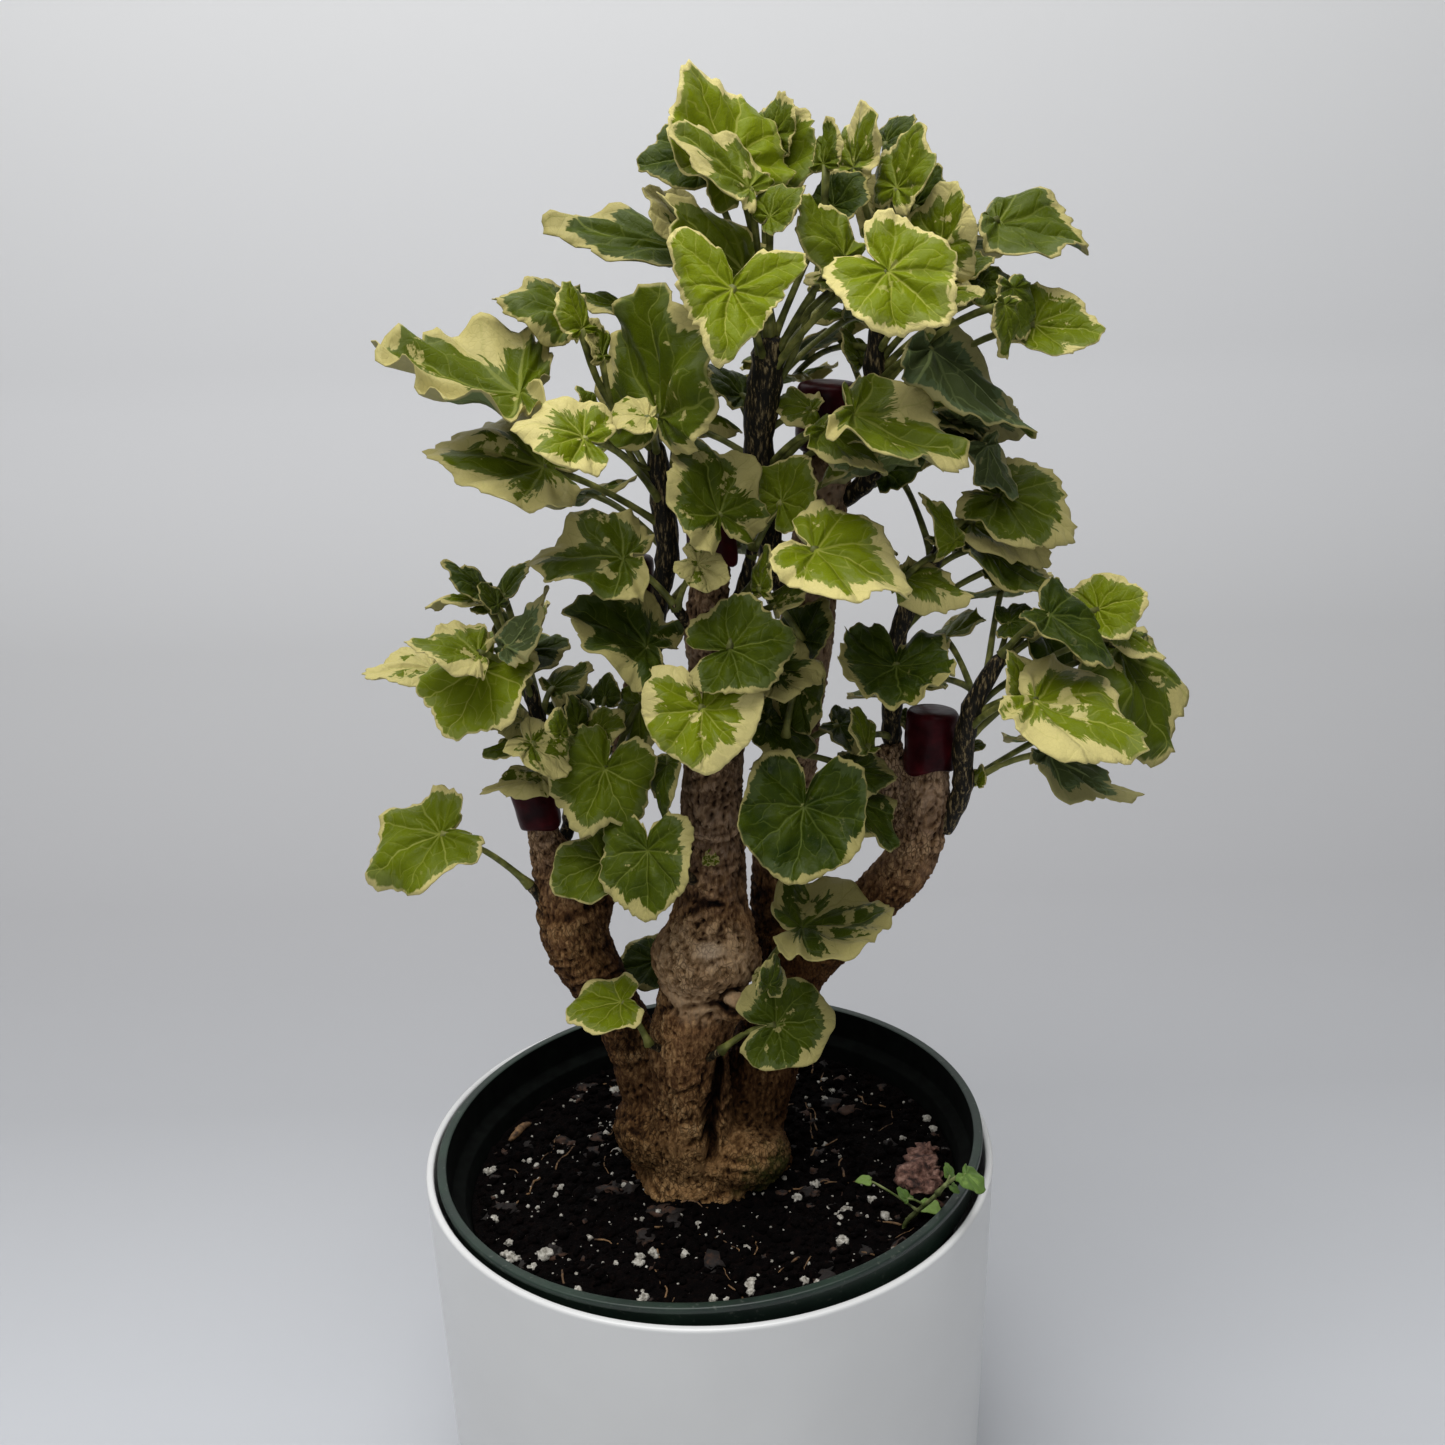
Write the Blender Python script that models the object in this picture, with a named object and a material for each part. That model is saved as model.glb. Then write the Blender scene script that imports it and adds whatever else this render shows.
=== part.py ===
"""Balfour aralia, a variegated house plant, in its nursery pot inside a white cover pot.

Metres, +Z up. The origin is the centre of the cover pot's foot, and the plant faces -Y.
Sizes in the tables below are millimetres.
"""
import bpy
import bmesh
import math
import random
from mathutils import Matrix, Vector
from mathutils.bvhtree import BVHTree

MM = 0.001
GAP = 0.35
ROUND_SIDES = 32

# Cover pot: a plain white cylinder, slightly wider at its mouth
COVER_MOUTH_R = 85.5
COVER_FOOT_R = 82.8
COVER_HEIGHT = 122.2
COVER_WALL = 2.3
COVER_FLOOR = 3.6
COVER_LIP = 1.1

# Nursery pot: a thin green six-inch pot, wedged in the cover a little askew
POT_LIP_R = 82.3
POT_HEIGHT = 120.0
POT_FOOT_R = 59.5
POT_SHOULDER_R = 76.3
POT_SHOULDER_Z = 108.0
POT_BAND_R = 80.9
POT_WALL = 1.1
POT_FLOOR = 1.6
POT_TILT = math.radians(2.4)
LIP_CENTRE_Z = 126.3
DRAIN_HOLES = 6
DRAIN_R = 4.5
DRAIN_RING_R = 46.0

# Soil fills the nursery pot up to here, measured along the pot
SOIL_TOP = 104.0
SOIL_RELIEF = 1.1

# Foot of the trunk where it stands in the soil
FOOT_CENTRE = (0.0, 1.0)
FOOT_RX = 25.0
FOOT_RY = 18.5
FOOT_BOTTOM = 84.0
FOOT_TOP = 112.5
FOOT_SIDES = 16

# Canes of the trunk: (x, y, z, radius), from the foot up
CANES = {
    "centre": [(-6, 0, 112, 14), (-6, -3, 128, 14.5), (-5, -5, 145, 12.3), (-5, -6, 159, 11.9),
               (-1, -6, 173, 12.4), (2, -6, 190, 12.4), (3, -6, 204, 10.4), (4, -5, 218, 9.4),
               (4, -5, 234, 9.0), (6, -5, 263, 7.2), (4, -5, 285, 6.4), (6, -5, 299, 5.2),
               (6, -5, 313, 5.2)],
    "back": [(10, 4, 112, 12), (13, 7, 130, 11.8), (20, 10, 152, 11.2), (25, 12, 170, 10.6),
             (23, 17, 193, 9.0), (27, 21, 236, 8.2), (32, 22, 272, 8.0), (38, 20, 318, 7.1),
             (39, 18, 344, 7.1)],
    "right": [(25, 12, 166, 8.5), (32, 11, 178, 9.3), (48, 8, 193, 7.8), (61, 6, 209, 7.4),
              (66, 5, 226, 6.6), (66, 5, 236, 5.9), (67, 5, 254, 5.9)],
    "right_stub": [(60, 7, 211, 5.5), (58, 10, 228, 5.2), (55, 13, 243, 4.6)],
    "left": [(-6, 1, 118, 12), (-16, 2, 135, 9.6), (-25, 3, 161, 8.0), (-36, 3, 184, 9.8),
             (-39, 3, 199, 9.8), (-42, 4, 211, 7.6), (-45, 4, 222, 4.7), (-48, 4, 237, 4.7)],
    "left_back": [(-36, 4, 193, 8.5), (-30, 8, 207, 6.6), (-22, 14, 233, 5.7),
                  (-16, 16, 257, 5.4), (-16, 16, 281, 4.8), (-17, 16, 298, 4.8)],
}
CANE_SIDES = 9

# Swellings of the trunk: centre, radii, and the turn about Z in degrees
KNOBS = [
    ((1, -7, 187), (15.0, 13.6, 12.5), 0),
    ((9, -17, 175), (5.0, 3.4, 4.4), 30),
    ((-14, 0, 127), (15.5, 14.0, 13.5), 20),
    ((9, -4, 120), (16.0, 14.5, 10.5), -15),
]

# Wax caps that seal the cut ends: the cane, and how far the wax reaches down it
WAX_WALL = 1.2
WAX_CAPS = {
    "wax_cap_centre": ("centre", 11.5),
    "wax_cap_back": ("back", 15.5),
    "wax_cap_right": ("right", 16.0),
    "wax_cap_left": ("left", 13.0),
    "wax_cap_left_back": ("left_back", 11.0),
}

# Blades and stalks
BLADE_HALF = 0.38
STALK_R = 1.0
LEAST_RISE = 0.35
STALK_SPACE = 3.0
SLIVER = 0.00002
FLAT_TURNS = [1.0, 0.7, 0.4, 0.2, 0.05]
CLEAR = 0.45
LARGE_FROM = 21
MIDDLE_FROM = 12

# Places on the plant are given as seen from this point in front of it: x to the right and z up
# on the upright plane through the trunk, then how far in front of that plane
EYE = Vector((7.5, -387.0, 374.6))

# A stem is a run of (x, z, in front, radius), its first point sunk in a socket. A leaf is
# (x, z, in front, length, aim, lean, breadth, cup): length is from stalk to tip; aim is the way the
# tip points, clockwise from up; lean tips it towards the front; breadth is how broad it looks from
# the front, below zero where it shows its underside; cup is how far its edges rise
SHOOTS = {
    "shoot_top": (
        [(31, 286, -20, 3), (23, 297, -15, 3.4), (21, 313, -9, 3.6), (19, 330, -5, 4), (21, 347, -3, 4.6), (23, 359, 0, 3.6)],
        [
            (14, 402, 6, 24, 333, -10, 26, 0.2),
            (5, 403, -2, 15, 262, 0, 13, 0.2),
            (18, 395, 12, 23, 308, 0, 12, 0.3),
            (24, 407, -4, 11, 10, -10, 13, 0.2),
            (22, 397, 10, 20, 35, -5, 20, 0.15),
            (23, 388, 18, 11, 48, 0, 9.5, 0.2),
            (42, 378, 18, 19, 322, 0, 9, 0.3),
            (0, 380, 4, 36, 284, 0, 13, 0.3),
            (3, 385, -4, 16, 315, 0, 12, 0.2),
            (16, 375, 14, 28, 311, 0, 15, 0.25),
            (13, 371, 34, 19, 192, 30, 34, 0.12),
            (37, 400, 2, 11, 8, -10, 6.5, 0.2),
            (39, 390, 2, 11, 40, -10, 13, 0.2),
            (53, 374, 30, 20, 128, 20, 27, 0.12),
            (44, 338, 24, 30, 113, 0, 18, 0.3),
            (37, 335, 17, 19, 127, 5, 12, 0.1),
            (15, 344, -12, 14, 322, -10, 11, 0.1),
            (33, 340, -14, 11, 280, 0, 9, 0.1),
            (46, 374, 12, 15, 265, 0, 8.5, 0.1),
            (41, 332, 6, 12, 118, 0, 9, 0.1),
        ]),
    "shoot_top_right": (
        [(41, 316, -19, 2.6), (49, 323, -12, 2.8), (49, 337, -12, 2.9), (50, 353, -10, 3), (52, 368, -8, 2.3)],
        [
            (44, 399, -2, 17, 8, -10, 14, 0.2),
            (52, 405, -10, 9.5, 50, 0, 7, 0.1),
            (55, 394, 0, 16, 22, -5, 15, 0.2),
            (60, 390, -8, 11, 30, 0, 11, 0.15),
            (52, 383, 10, 16, 355, 0, 10, 0.2),
            (66, 379, 12, 16, 5, -5, 18, 0.15),
            (67, 369, 18, 10, 95, 0, 6.5, 0.1),
            (71, 375, 8, 9.5, 80, 0, 6.5, 0.1),
            (76, 384, 2, 15, 122, 5, 10, 0.2),
            (81, 386, -6, 25, 109, 0, 16, 0.25),
            (77, 371, 14, 11, 125, 0, 9, 0.1),
            (83, 365, 24, 13, 170, 5, 5.5, 0.1),
            (85, 369, 12, 13, 166, 5, 9.5, 0.1),
            (91, 360, 14, 17, 103, 0, 20, 0.5),
            (64, 354, 8, 36, 128, 0, -14, 0.25),
            (46, 352, -20, 10, 335, 0, 7.5, 0.1),
            (62, 342, -4, 23, 115, 0, 16, 0.15),
            (53, 323, -2, 13, 55, 0, 11, 0.1),
            (56, 342, -16, 6, 50, 0, 4.5, 0.1),
            (66, 335, -10, 14, 112, 0, 14, 0.15),
            (79, 329, -2, 16, 152, 0, -11, 0.2),
        ]),
    "shoot_upper_left": (
        [(-14, 264, -14, 2.4), (-11, 276, -9, 2.6), (-9, 290, -7, 2.7), (-6, 303, -5, 3.2), (-7, 317, -4, 3.2), (-8, 333, -2, 2.4)],
        [
            (-28, 366, -10, 21, 287, 0, 11, 0.2),
            (-26, 362, -6, 12, 345, 0, 6, 0.15),
            (-15, 367, -16, 15, 285, 0, 7, 0.1),
            (-25, 342, 0, 6, 345, 0, 3.5, 0.1),
            (-43, 346, 8, 38, 283, 0, 23, 0.35),
            (-38, 327, 14, 29, 287, 0, 27, 0.25),
            (-27, 334, 22, 17, 290, 5, 18, 0.2),
            (-7, 339, 12, 34, 3, 0, 25, 0.4),
            (-10, 339, 20, 13, 277, 5, 8, 0.15),
            (-12, 343, 2, 12, 308, 0, 9.5, 0.1),
            (-21, 355, -16, 9.5, 350, 0, 6.5, 0.1),
        ]),
    "shoot_left": (
        [(-41, 217, -9, 2), (-37, 226, -13, 2.1), (-37, 236, -12, 2.2), (-41, 248, -5, 2.2), (-44, 258, 0, 2.2), (-46, 268, 3, 1.7)],
        [
            (-58, 272, 12, 21, 212, 12, 28, 0.12),
            (-59, 277, 6, 19, 284, 0, 11, 0.15),
            (-72, 273, 0, 19, 271, 0, 10, 0.2),
            (-57, 292, -2, 16, 275, 0, 4, 0.1),
            (-57, 294, -6, 13, 315, 0, 5.5, 0.2),
            (-54, 290, 0, 6.5, 265, 0, 4, 0.1),
            (-51, 278, 8, 20, 42, 0, -9.5, 0.2),
            (-51, 293, -6, 12, 40, 0, 6, 0.1),
            (-53, 290, -2, 7.5, 330, 0, 6, 0.1),
            (-47, 276, -6, 15, 75, 0, 13, 0.1),
            (-46, 250, 16, 13, 130, 0, 14, 0.15),
            (-47, 251, 10, 13, 264, 0, 4.5, 0.1),
            (-44, 240, 8, 18, 262, 0, 6.5, 0.1),
            (-48, 257, 2, 11, 268, 0, 6, 0.1),
            (-50, 280, -10, 10, 345, 0, 7.5, 0.1),
            (-39, 266, -14, 13, 60, 0, 9, 0.1),
        ]),
    "shoot_right": (
        [(70, 221, -4, 2.6), (75, 233, 0, 2.9), (75, 246, 3, 3), (78, 259, 6, 2.8), (85, 272, 8, 1.9)],
        [
            (111, 284, 4, 14, 70, 0, 18, 0.15),
            (98, 283, 12, 21, 122, 0, 19, 0.45),
            (93, 260, 16, 14, 338, 0, 12, 0.15),
            (95, 259, 22, 30, 110, 5, 21, 0.15),
            (99, 243, 8, 26, 121, 0, -10, 0.15),
            (118, 273, 0, 35, 154, 0, 17, 0.15),
            (117, 277, -6, 14, 115, 0, 7.5, 0.1),
            (79, 235, 2, 5.5, 15, 0, 4, 0.1),
            (95, 279, 2, 20, 150, 0, 9.5, 0.15),
            (87, 281, -2, 10, 84, 0, 10, 0.1),
            (77, 246, -4, 4.5, 85, 0, 3.5, 0.1),
        ]),
    "shoot_mid_right": (
        [(59, 232, -11, 2.9), (55, 248, -13, 2.8), (55, 260, -10, 2.9), (56, 277, -3, 2.7), (61, 291, 0, 2.4), (68, 303, 3, 2), (69, 312, 4, 1.5)],
        [
            (58, 294, 14, 18, 100, 5, 9, 0.1),
            (56, 270, 22, 19, 180, 50, 34, 0.35),
            (83, 316, 4, 23, 113, 0, 23, 0.2),
            (76, 309, 10, 24, 112, 0, 11, 0.15),
            (77, 302, 0, 28, 119, 0, 9, 0.15),
            (71, 304, 8, 16, 328, 0, 6, 0.1),
            (69, 304, 12, 5.5, 285, 0, 3.5, 0.1),
            (58, 255, 4, 6, 130, 0, 5, 0.1),
            (48, 246, -6, 12, 345, 0, 7, 0.1),
            (84, 297, -6, 16, 108, 0, 12, 0.15),
        ]),
    "sprout_centre_top": (
        [(7, 279, -1, 1.7), (12, 288, 2, 1.9), (15, 296, 4, 1.8), (17, 304, 5, 1.4)],
        [
            (8, 313, 20, 21, 345, -5, 24, 0.3),
            (25, 316, 14, 14, 28, 0, 16, 0.15),
            (42, 316, 12, 21, 100, 0, 14, 0.15),
            (34, 303, 32, 26, 113, 8, 24, 0.15),
            (10, 276, 24, 18, 77, 5, 24, 0.12),
            (21, 271, 16, 15, 102, 0, 16, 0.1),
            (30, 278, -2, 13, 22, 0, 14, 0.1),
            (23, 288, 4, 11, 62, 0, 7, 0.1),
            (43, 321, -4, 16, 92, 0, 11, 0.1),
            (19, 292, -8, 12, 8, 0, 7, 0.1),
        ]),
    "sprout_centre_right": (
        [(8, 219, -1, 1.8), (15, 228, 2, 1.9), (20, 240, 4, 1.8), (25, 250, 5, 1.4)],
        [
            (29, 266, 12, 15, 177, 0, 15, 0.1),
            (20, 255, 8, 16, 125, 0, 14, 0.1),
            (30, 229, 30, 21, 190, 10, 36, 0.3),
            (40, 253, 2, 13, 122, 0, 11, 0.1),
            (45, 231, 16, 17, 140, 0, 13, 0.1),
            (21, 242, 10, 12, 150, 0, 8, 0.1),
            (43, 240, -2, 14, 100, 0, 11, 0.1),
        ]),
    "stalk_centre_left": (
        [(1, 280, 4, 1.5), (-5, 289, 12, 1.4)],
        [
            (-18, 301, 16, 24, 279, 0, 21, 0.2),
            (2, 300, 22, 9.5, 120, 0, 12, 0.05),
        ]),
    "sprout_centre_front": (
        [(1, 251, 0, 1.6), (-2, 259, 10, 1.6), (-3, 262, 14, 1.4)],
        [
            (-13, 277, 18, 24, 300, 0, 21, 0.4),
            (2, 259, 32, 19, 178, 15, 31, 0.05),
            (-8, 243, 14, 17, 200, 0, 7.5, 0.1),
        ]),
    "stalk_centre_low": (
        [(-2, 207, 12, 1.4), (-6, 211, 21, 1.3)],
        [
            (-15, 217, 27, 19, 185, 5, 25, 0.1),
        ]),
    "stalk_left_far": (
        [(-46, 202, 0, 1.4), (-50, 208, 3, 1.4)],
        [
            (-74, 224, 6, 23, 252, 0, 26, 0.15),
        ]),
    "stalk_left_near": (
        [(-36, 204, 0, 1.4), (-29, 210, 11, 1.4)],
        [
            (-28, 214, 16, 16, 248, 5, 19, 0.1),
        ]),
    "sprout_left_back": (
        [(-22, 229, -9, 1.8), (-25, 235, -4, 1.8), (-26, 244, -1, 1.6)],
        [
            (-26, 242, 18, 19, 204, 10, 27, 0.12),
            (-25, 263, 4, 7.5, 12, 0, 6.5, 0.1),
            (-27, 253, 8, 9, 45, 0, 9.5, 0.1),
            (-33, 255, 2, 9.5, 350, 0, 6.5, 0.1),
            (-15, 261, -12, 15, 185, 0, 13, 0.1),
            (-38, 253, 6, 7, 0, 0, 4.5, 0.1),
            (-31, 262, -16, 12, 262, 0, 11, 0.1),
        ]),
    "stalk_right_low": (
        [(14, 168, 2, 1.4), (17, 177, 7, 1.2)],
        [
            (29, 191, 18, 26, 84, 0, 23, 0.15),
            (19, 173, 10, 9, 20, 0, 8, 0.1),
        ]),
    "stalk_front_low": (
        [(0, 149, 14, 1.2), (5, 152, 21, 1.1)],
        [
            (21, 160, 22, 17, 84, 0, 26, 0.1),
        ]),
    "stalk_left_low": (
        [(-12, 152, 12, 1.2), (-18, 155, 17, 1.1)],
        [
            (-25, 169, 18, 16, 262, 0, 16, 0.05),
        ]),
    "stalk_left_behind": (
        [(-8, 178, -2, 1.2), (-12, 180, -6, 1)],
        [
            (-14, 182, -8, 13, 258, 0, 16, 0.05),
        ]),
    "weed_seedling": (
        [(60, 85, 33, 0.9), (61, 90, 34, 0.9), (69, 98, 42, 0.8), (73, 103, 47, 0.7)],
        [
            (49, 105, 36, 4, 272, 0, 2.5, 0),
            (61, 98, 39, 4, 320, 0, 3, 0),
            (74, 106, 47, 3.5, 345, 0, 2.5, 0),
            (75, 102, 47, 2.5, 130, 0, 2, 0),
            (79, 106, 51, 6.5, 125, 0, 5, 0),
            (66, 95, 28, 5.5, 95, 10, 4, 0),
        ]),
}

# Leaves at the back of a shoot, set by the golden angle: how many, and the reach of their stalks
BACK_LEAVES = {
    "shoot_top": (6, 30),
    "shoot_top_right": (5, 30),
    "shoot_upper_left": (4, 28),
    "shoot_left": (3, 24),
    "shoot_right": (4, 26),
    "shoot_mid_right": (3, 26),
    "sprout_centre_right": (2, 22),
    "sprout_left_back": (1, 22),
}
GOLDEN = 137.5
FULL_BREADTH = 1.85
NATURAL_BREADTH = 1.5
MOST_ROLL = math.radians(62)
SEED = 7

COLOURS = {
    "cover_pot": ((0.80, 0.80, 0.80), 0.35),
    "nursery_pot": ((0.02, 0.075, 0.045), 0.4),
    "potting_soil": ((0.012, 0.009, 0.007), 0.95),
    "trunk": ((0.21, 0.13, 0.07), 0.85),
    "wax": ((0.045, 0.006, 0.008), 0.3),
    "leaf": ((0.12, 0.24, 0.03), 0.5),
    "weed": ((0.22, 0.33, 0.08), 0.55),
}


def clear_scene():
    for thing in list(bpy.data.objects):
        bpy.data.objects.remove(thing)


def material(name):
    colour, roughness = COLOURS[name]
    made = bpy.data.materials.new(name)
    made.use_nodes = True
    shader = made.node_tree.nodes["Principled BSDF"]
    shader.inputs["Base Color"].default_value = (*colour, 1.0)
    shader.inputs["Roughness"].default_value = roughness
    made.diffuse_color = (*colour, 1.0)
    return made


def mesh_object(name, verts, faces, finish, smooth=True):
    """One object from points in millimetres."""
    mesh = bpy.data.meshes.new(name)
    mesh.from_pydata([Vector(v) * MM for v in verts], [], faces)
    mesh.validate()
    if smooth:
        mesh.shade_smooth()
        mesh.set_sharp_from_angle(angle=math.radians(40))
    thing = bpy.data.objects.new(name, mesh)
    bpy.context.scene.collection.objects.link(thing)
    if finish is not None:
        thing.data.materials.append(finish)
    return thing


def keep_result(thing):
    """Replaces an object's mesh by what its modifiers make of it."""
    bpy.context.view_layer.update()
    graph = bpy.context.evaluated_depsgraph_get()
    result = bpy.data.meshes.new_from_object(thing.evaluated_get(graph))
    thing.modifiers.clear()
    thing.data = result


def combine(thing, pieces, operation, solver="EXACT"):
    """Joins the pieces to an object, or cuts them from it, and removes them."""
    group = bpy.data.collections.new(thing.name + "_" + operation.lower())
    bpy.context.scene.collection.children.link(group)
    for piece in pieces:
        bpy.context.scene.collection.objects.unlink(piece)
        group.objects.link(piece)
    step = thing.modifiers.new(operation.title(), "BOOLEAN")
    step.operation = operation
    step.operand_type = "COLLECTION"
    step.collection = group
    step.solver = solver
    keep_result(thing)
    for piece in pieces:
        bpy.data.objects.remove(piece)
    bpy.data.collections.remove(group)


def turned(profile, sides=ROUND_SIDES):
    """Turns a profile of (radius, z) about Z. Its two ends lie on the axis."""
    verts = []
    rings = []
    for radius, height in profile:
        if radius == 0:
            rings.append([len(verts)])
            verts.append((0, 0, height))
            continue
        rings.append(list(range(len(verts), len(verts) + sides)))
        for i in range(sides):
            turn = 2 * math.pi * i / sides
            verts.append((radius * math.cos(turn), radius * math.sin(turn), height))
    faces = []
    for low, high in zip(rings, rings[1:]):
        for i in range(sides):
            j = (i + 1) % sides
            if len(low) == 1:
                faces.append((low[0], high[j], high[i]))
            elif len(high) == 1:
                faces.append((low[i], low[j], high[0]))
            else:
                faces.append((low[i], low[j], high[j], high[i]))
    return verts, faces


def across(direction):
    """Two axes square to a direction, steady along an upright run."""
    guide = Vector((1, 0, 0)) if abs(direction.x) < 0.8 else Vector((0, 1, 0))
    first = (guide - direction * guide.dot(direction)).normalized()
    return first, direction.cross(first)


def tube(points, radii, sides, start_turn=0.0):
    """A closed tube through the points, with a flat end at both."""
    points = [Vector(p) for p in points]
    verts = []
    for k, point in enumerate(points):
        before = points[max(k - 1, 0)]
        after = points[min(k + 1, len(points) - 1)]
        if k == len(points) - 2 and len(points) > 3:
            before = point
        first, second = across((after - before).normalized())
        for i in range(sides):
            turn = start_turn + 2 * math.pi * i / sides
            verts.append(point + (first * math.cos(turn) + second * math.sin(turn)) * radii[k])
    faces = []
    for k in range(len(points) - 1):
        for i in range(sides):
            j = (i + 1) % sides
            low, high = k * sides, (k + 1) * sides
            faces.append((low + i, low + j, high + j, high + i))
    faces.append(tuple(reversed(range(sides))))
    faces.append(tuple(range(len(verts) - sides, len(verts))))
    return verts, faces


def ball(centre, radii, turn, sides=10, rows=6):
    """An egg-shaped lump."""
    spin = Matrix.Rotation(math.radians(turn), 3, "Z")
    verts = [Vector((0, 0, -1))]
    for k in range(1, rows):
        up = math.pi * k / rows - math.pi / 2
        for i in range(sides):
            around = 2 * math.pi * (i + 0.5 * (k % 2)) / sides
            verts.append(Vector((math.cos(up) * math.cos(around), math.cos(up) * math.sin(around),
                                 math.sin(up))))
    verts.append(Vector((0, 0, 1)))
    top = len(verts) - 1
    faces = []
    for i in range(sides):
        j = (i + 1) % sides
        faces.append((0, 1 + j, 1 + i))
        faces.append((top, top - sides + i, top - sides + j))
    for k in range(rows - 2):
        low = 1 + k * sides
        for i in range(sides):
            j = (i + 1) % sides
            faces.append((low + i, low + j, low + sides + j, low + sides + i))
    size = Vector(radii)
    placed = [Vector(centre) + spin @ Vector((v.x * size.x, v.y * size.y, v.z * size.z)) for v in verts]
    return placed, faces


def seen(x, z, front):
    """The place that shows at (x, z) on the plane of the trunk and lies this far in front of it."""
    on_plane = Vector((x, 0, z))
    return EYE + (on_plane - EYE) * (1 + front / EYE.y)


def seen_axes(place):
    """Right, up and towards the eye, at a place."""
    toward = (EYE - place).normalized()
    right = Vector((0, 0, 1)).cross(toward).normalized()
    return right, toward.cross(right), toward


def pot_frame():
    """The nursery pot's own axes: its foot at z = 0, tilted about the centre of its lip."""
    lip = Vector((0, 0, LIP_CENTRE_Z))
    tilt = Matrix.Rotation(-POT_TILT, 4, "Y")
    return Matrix.Translation(lip) @ tilt @ Matrix.Translation((0, 0, -POT_HEIGHT))


def in_pot(verts):
    frame = pot_frame()
    return [frame @ Vector(v) for v in verts]


def pot_outer_r(height):
    return POT_FOOT_R + (POT_SHOULDER_R - POT_FOOT_R) * height / POT_SHOULDER_Z


def make_cover_pot():
    inner_mouth = COVER_MOUTH_R - COVER_WALL
    inner_foot = COVER_FOOT_R - COVER_WALL
    profile = [
        (0, 0), (COVER_FOOT_R - 1.0, 0), (COVER_FOOT_R, 1.0),
        (COVER_MOUTH_R, COVER_HEIGHT - COVER_LIP), (COVER_MOUTH_R - 0.5, COVER_HEIGHT - 0.2),
        (COVER_MOUTH_R - COVER_WALL / 2, COVER_HEIGHT), (inner_mouth + 0.4, COVER_HEIGHT - 0.2),
        (inner_mouth, COVER_HEIGHT - COVER_LIP), (inner_foot, COVER_FLOOR + 1.5),
        (inner_foot - 1.5, COVER_FLOOR), (0, COVER_FLOOR),
    ]
    verts, faces = turned(profile)
    return mesh_object("cover_pot", verts, faces, material("cover_pot"))


def make_nursery_pot():
    inside = POT_WALL
    shoulder = POT_SHOULDER_Z
    profile = [
        (0, 0), (POT_FOOT_R - 1.0, 0), (POT_FOOT_R, 1.0), (POT_SHOULDER_R, shoulder),
        (POT_BAND_R - 0.5, shoulder + 1.2), (POT_BAND_R, POT_HEIGHT - 2.4), (POT_LIP_R, POT_HEIGHT - 1.9),
        (POT_LIP_R, POT_HEIGHT - 0.4), (POT_LIP_R - 0.6, POT_HEIGHT), (POT_BAND_R - inside + 0.3, POT_HEIGHT),
        (POT_BAND_R - inside - 0.3, POT_HEIGHT - 0.8), (POT_BAND_R - inside - 0.7, shoulder + 2.2),
        (POT_SHOULDER_R - inside, shoulder + 0.6), (pot_outer_r(POT_FLOOR) - inside, POT_FLOOR),
        (0, POT_FLOOR),
    ]
    verts, faces = turned(profile)
    pot = mesh_object("nursery_pot", in_pot(verts), faces, material("nursery_pot"))
    cutters = []
    for i in range(DRAIN_HOLES):
        turn = 2 * math.pi * (i + 0.5) / DRAIN_HOLES
        x, y = DRAIN_RING_R * math.cos(turn), DRAIN_RING_R * math.sin(turn)
        verts, faces = tube([(x, y, -3), (x, y, POT_FLOOR + 2)], [DRAIN_R, DRAIN_R], 8)
        cutters.append(mesh_object(f"drain_{i}", in_pot(verts), faces, None))
    combine(pot, cutters, "DIFFERENCE")
    return pot


def foot_ring(height, scale, extra=0.0):
    """The lobed outline of the trunk's foot."""
    ring = []
    for i in range(FOOT_SIDES):
        turn = 2 * math.pi * i / FOOT_SIDES
        lobe = 1 + 0.05 * math.sin(3 * turn + 0.6) + 0.03 * math.sin(5 * turn)
        ring.append(Vector((
            FOOT_CENTRE[0] + (FOOT_RX * scale * lobe + extra) * math.cos(turn),
            FOOT_CENTRE[1] + (FOOT_RY * scale * lobe + extra) * math.sin(turn),
            height,
        )))
    return ring


def loft(rings):
    verts = [v for ring in rings for v in ring]
    sides = len(rings[0])
    faces = [tuple(reversed(range(sides)))]
    for k in range(len(rings) - 1):
        for i in range(sides):
            j = (i + 1) % sides
            faces.append((k * sides + i, k * sides + j, (k + 1) * sides + j, (k + 1) * sides + i))
    faces.append(tuple(range(len(verts) - sides, len(verts))))
    return verts, faces


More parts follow.
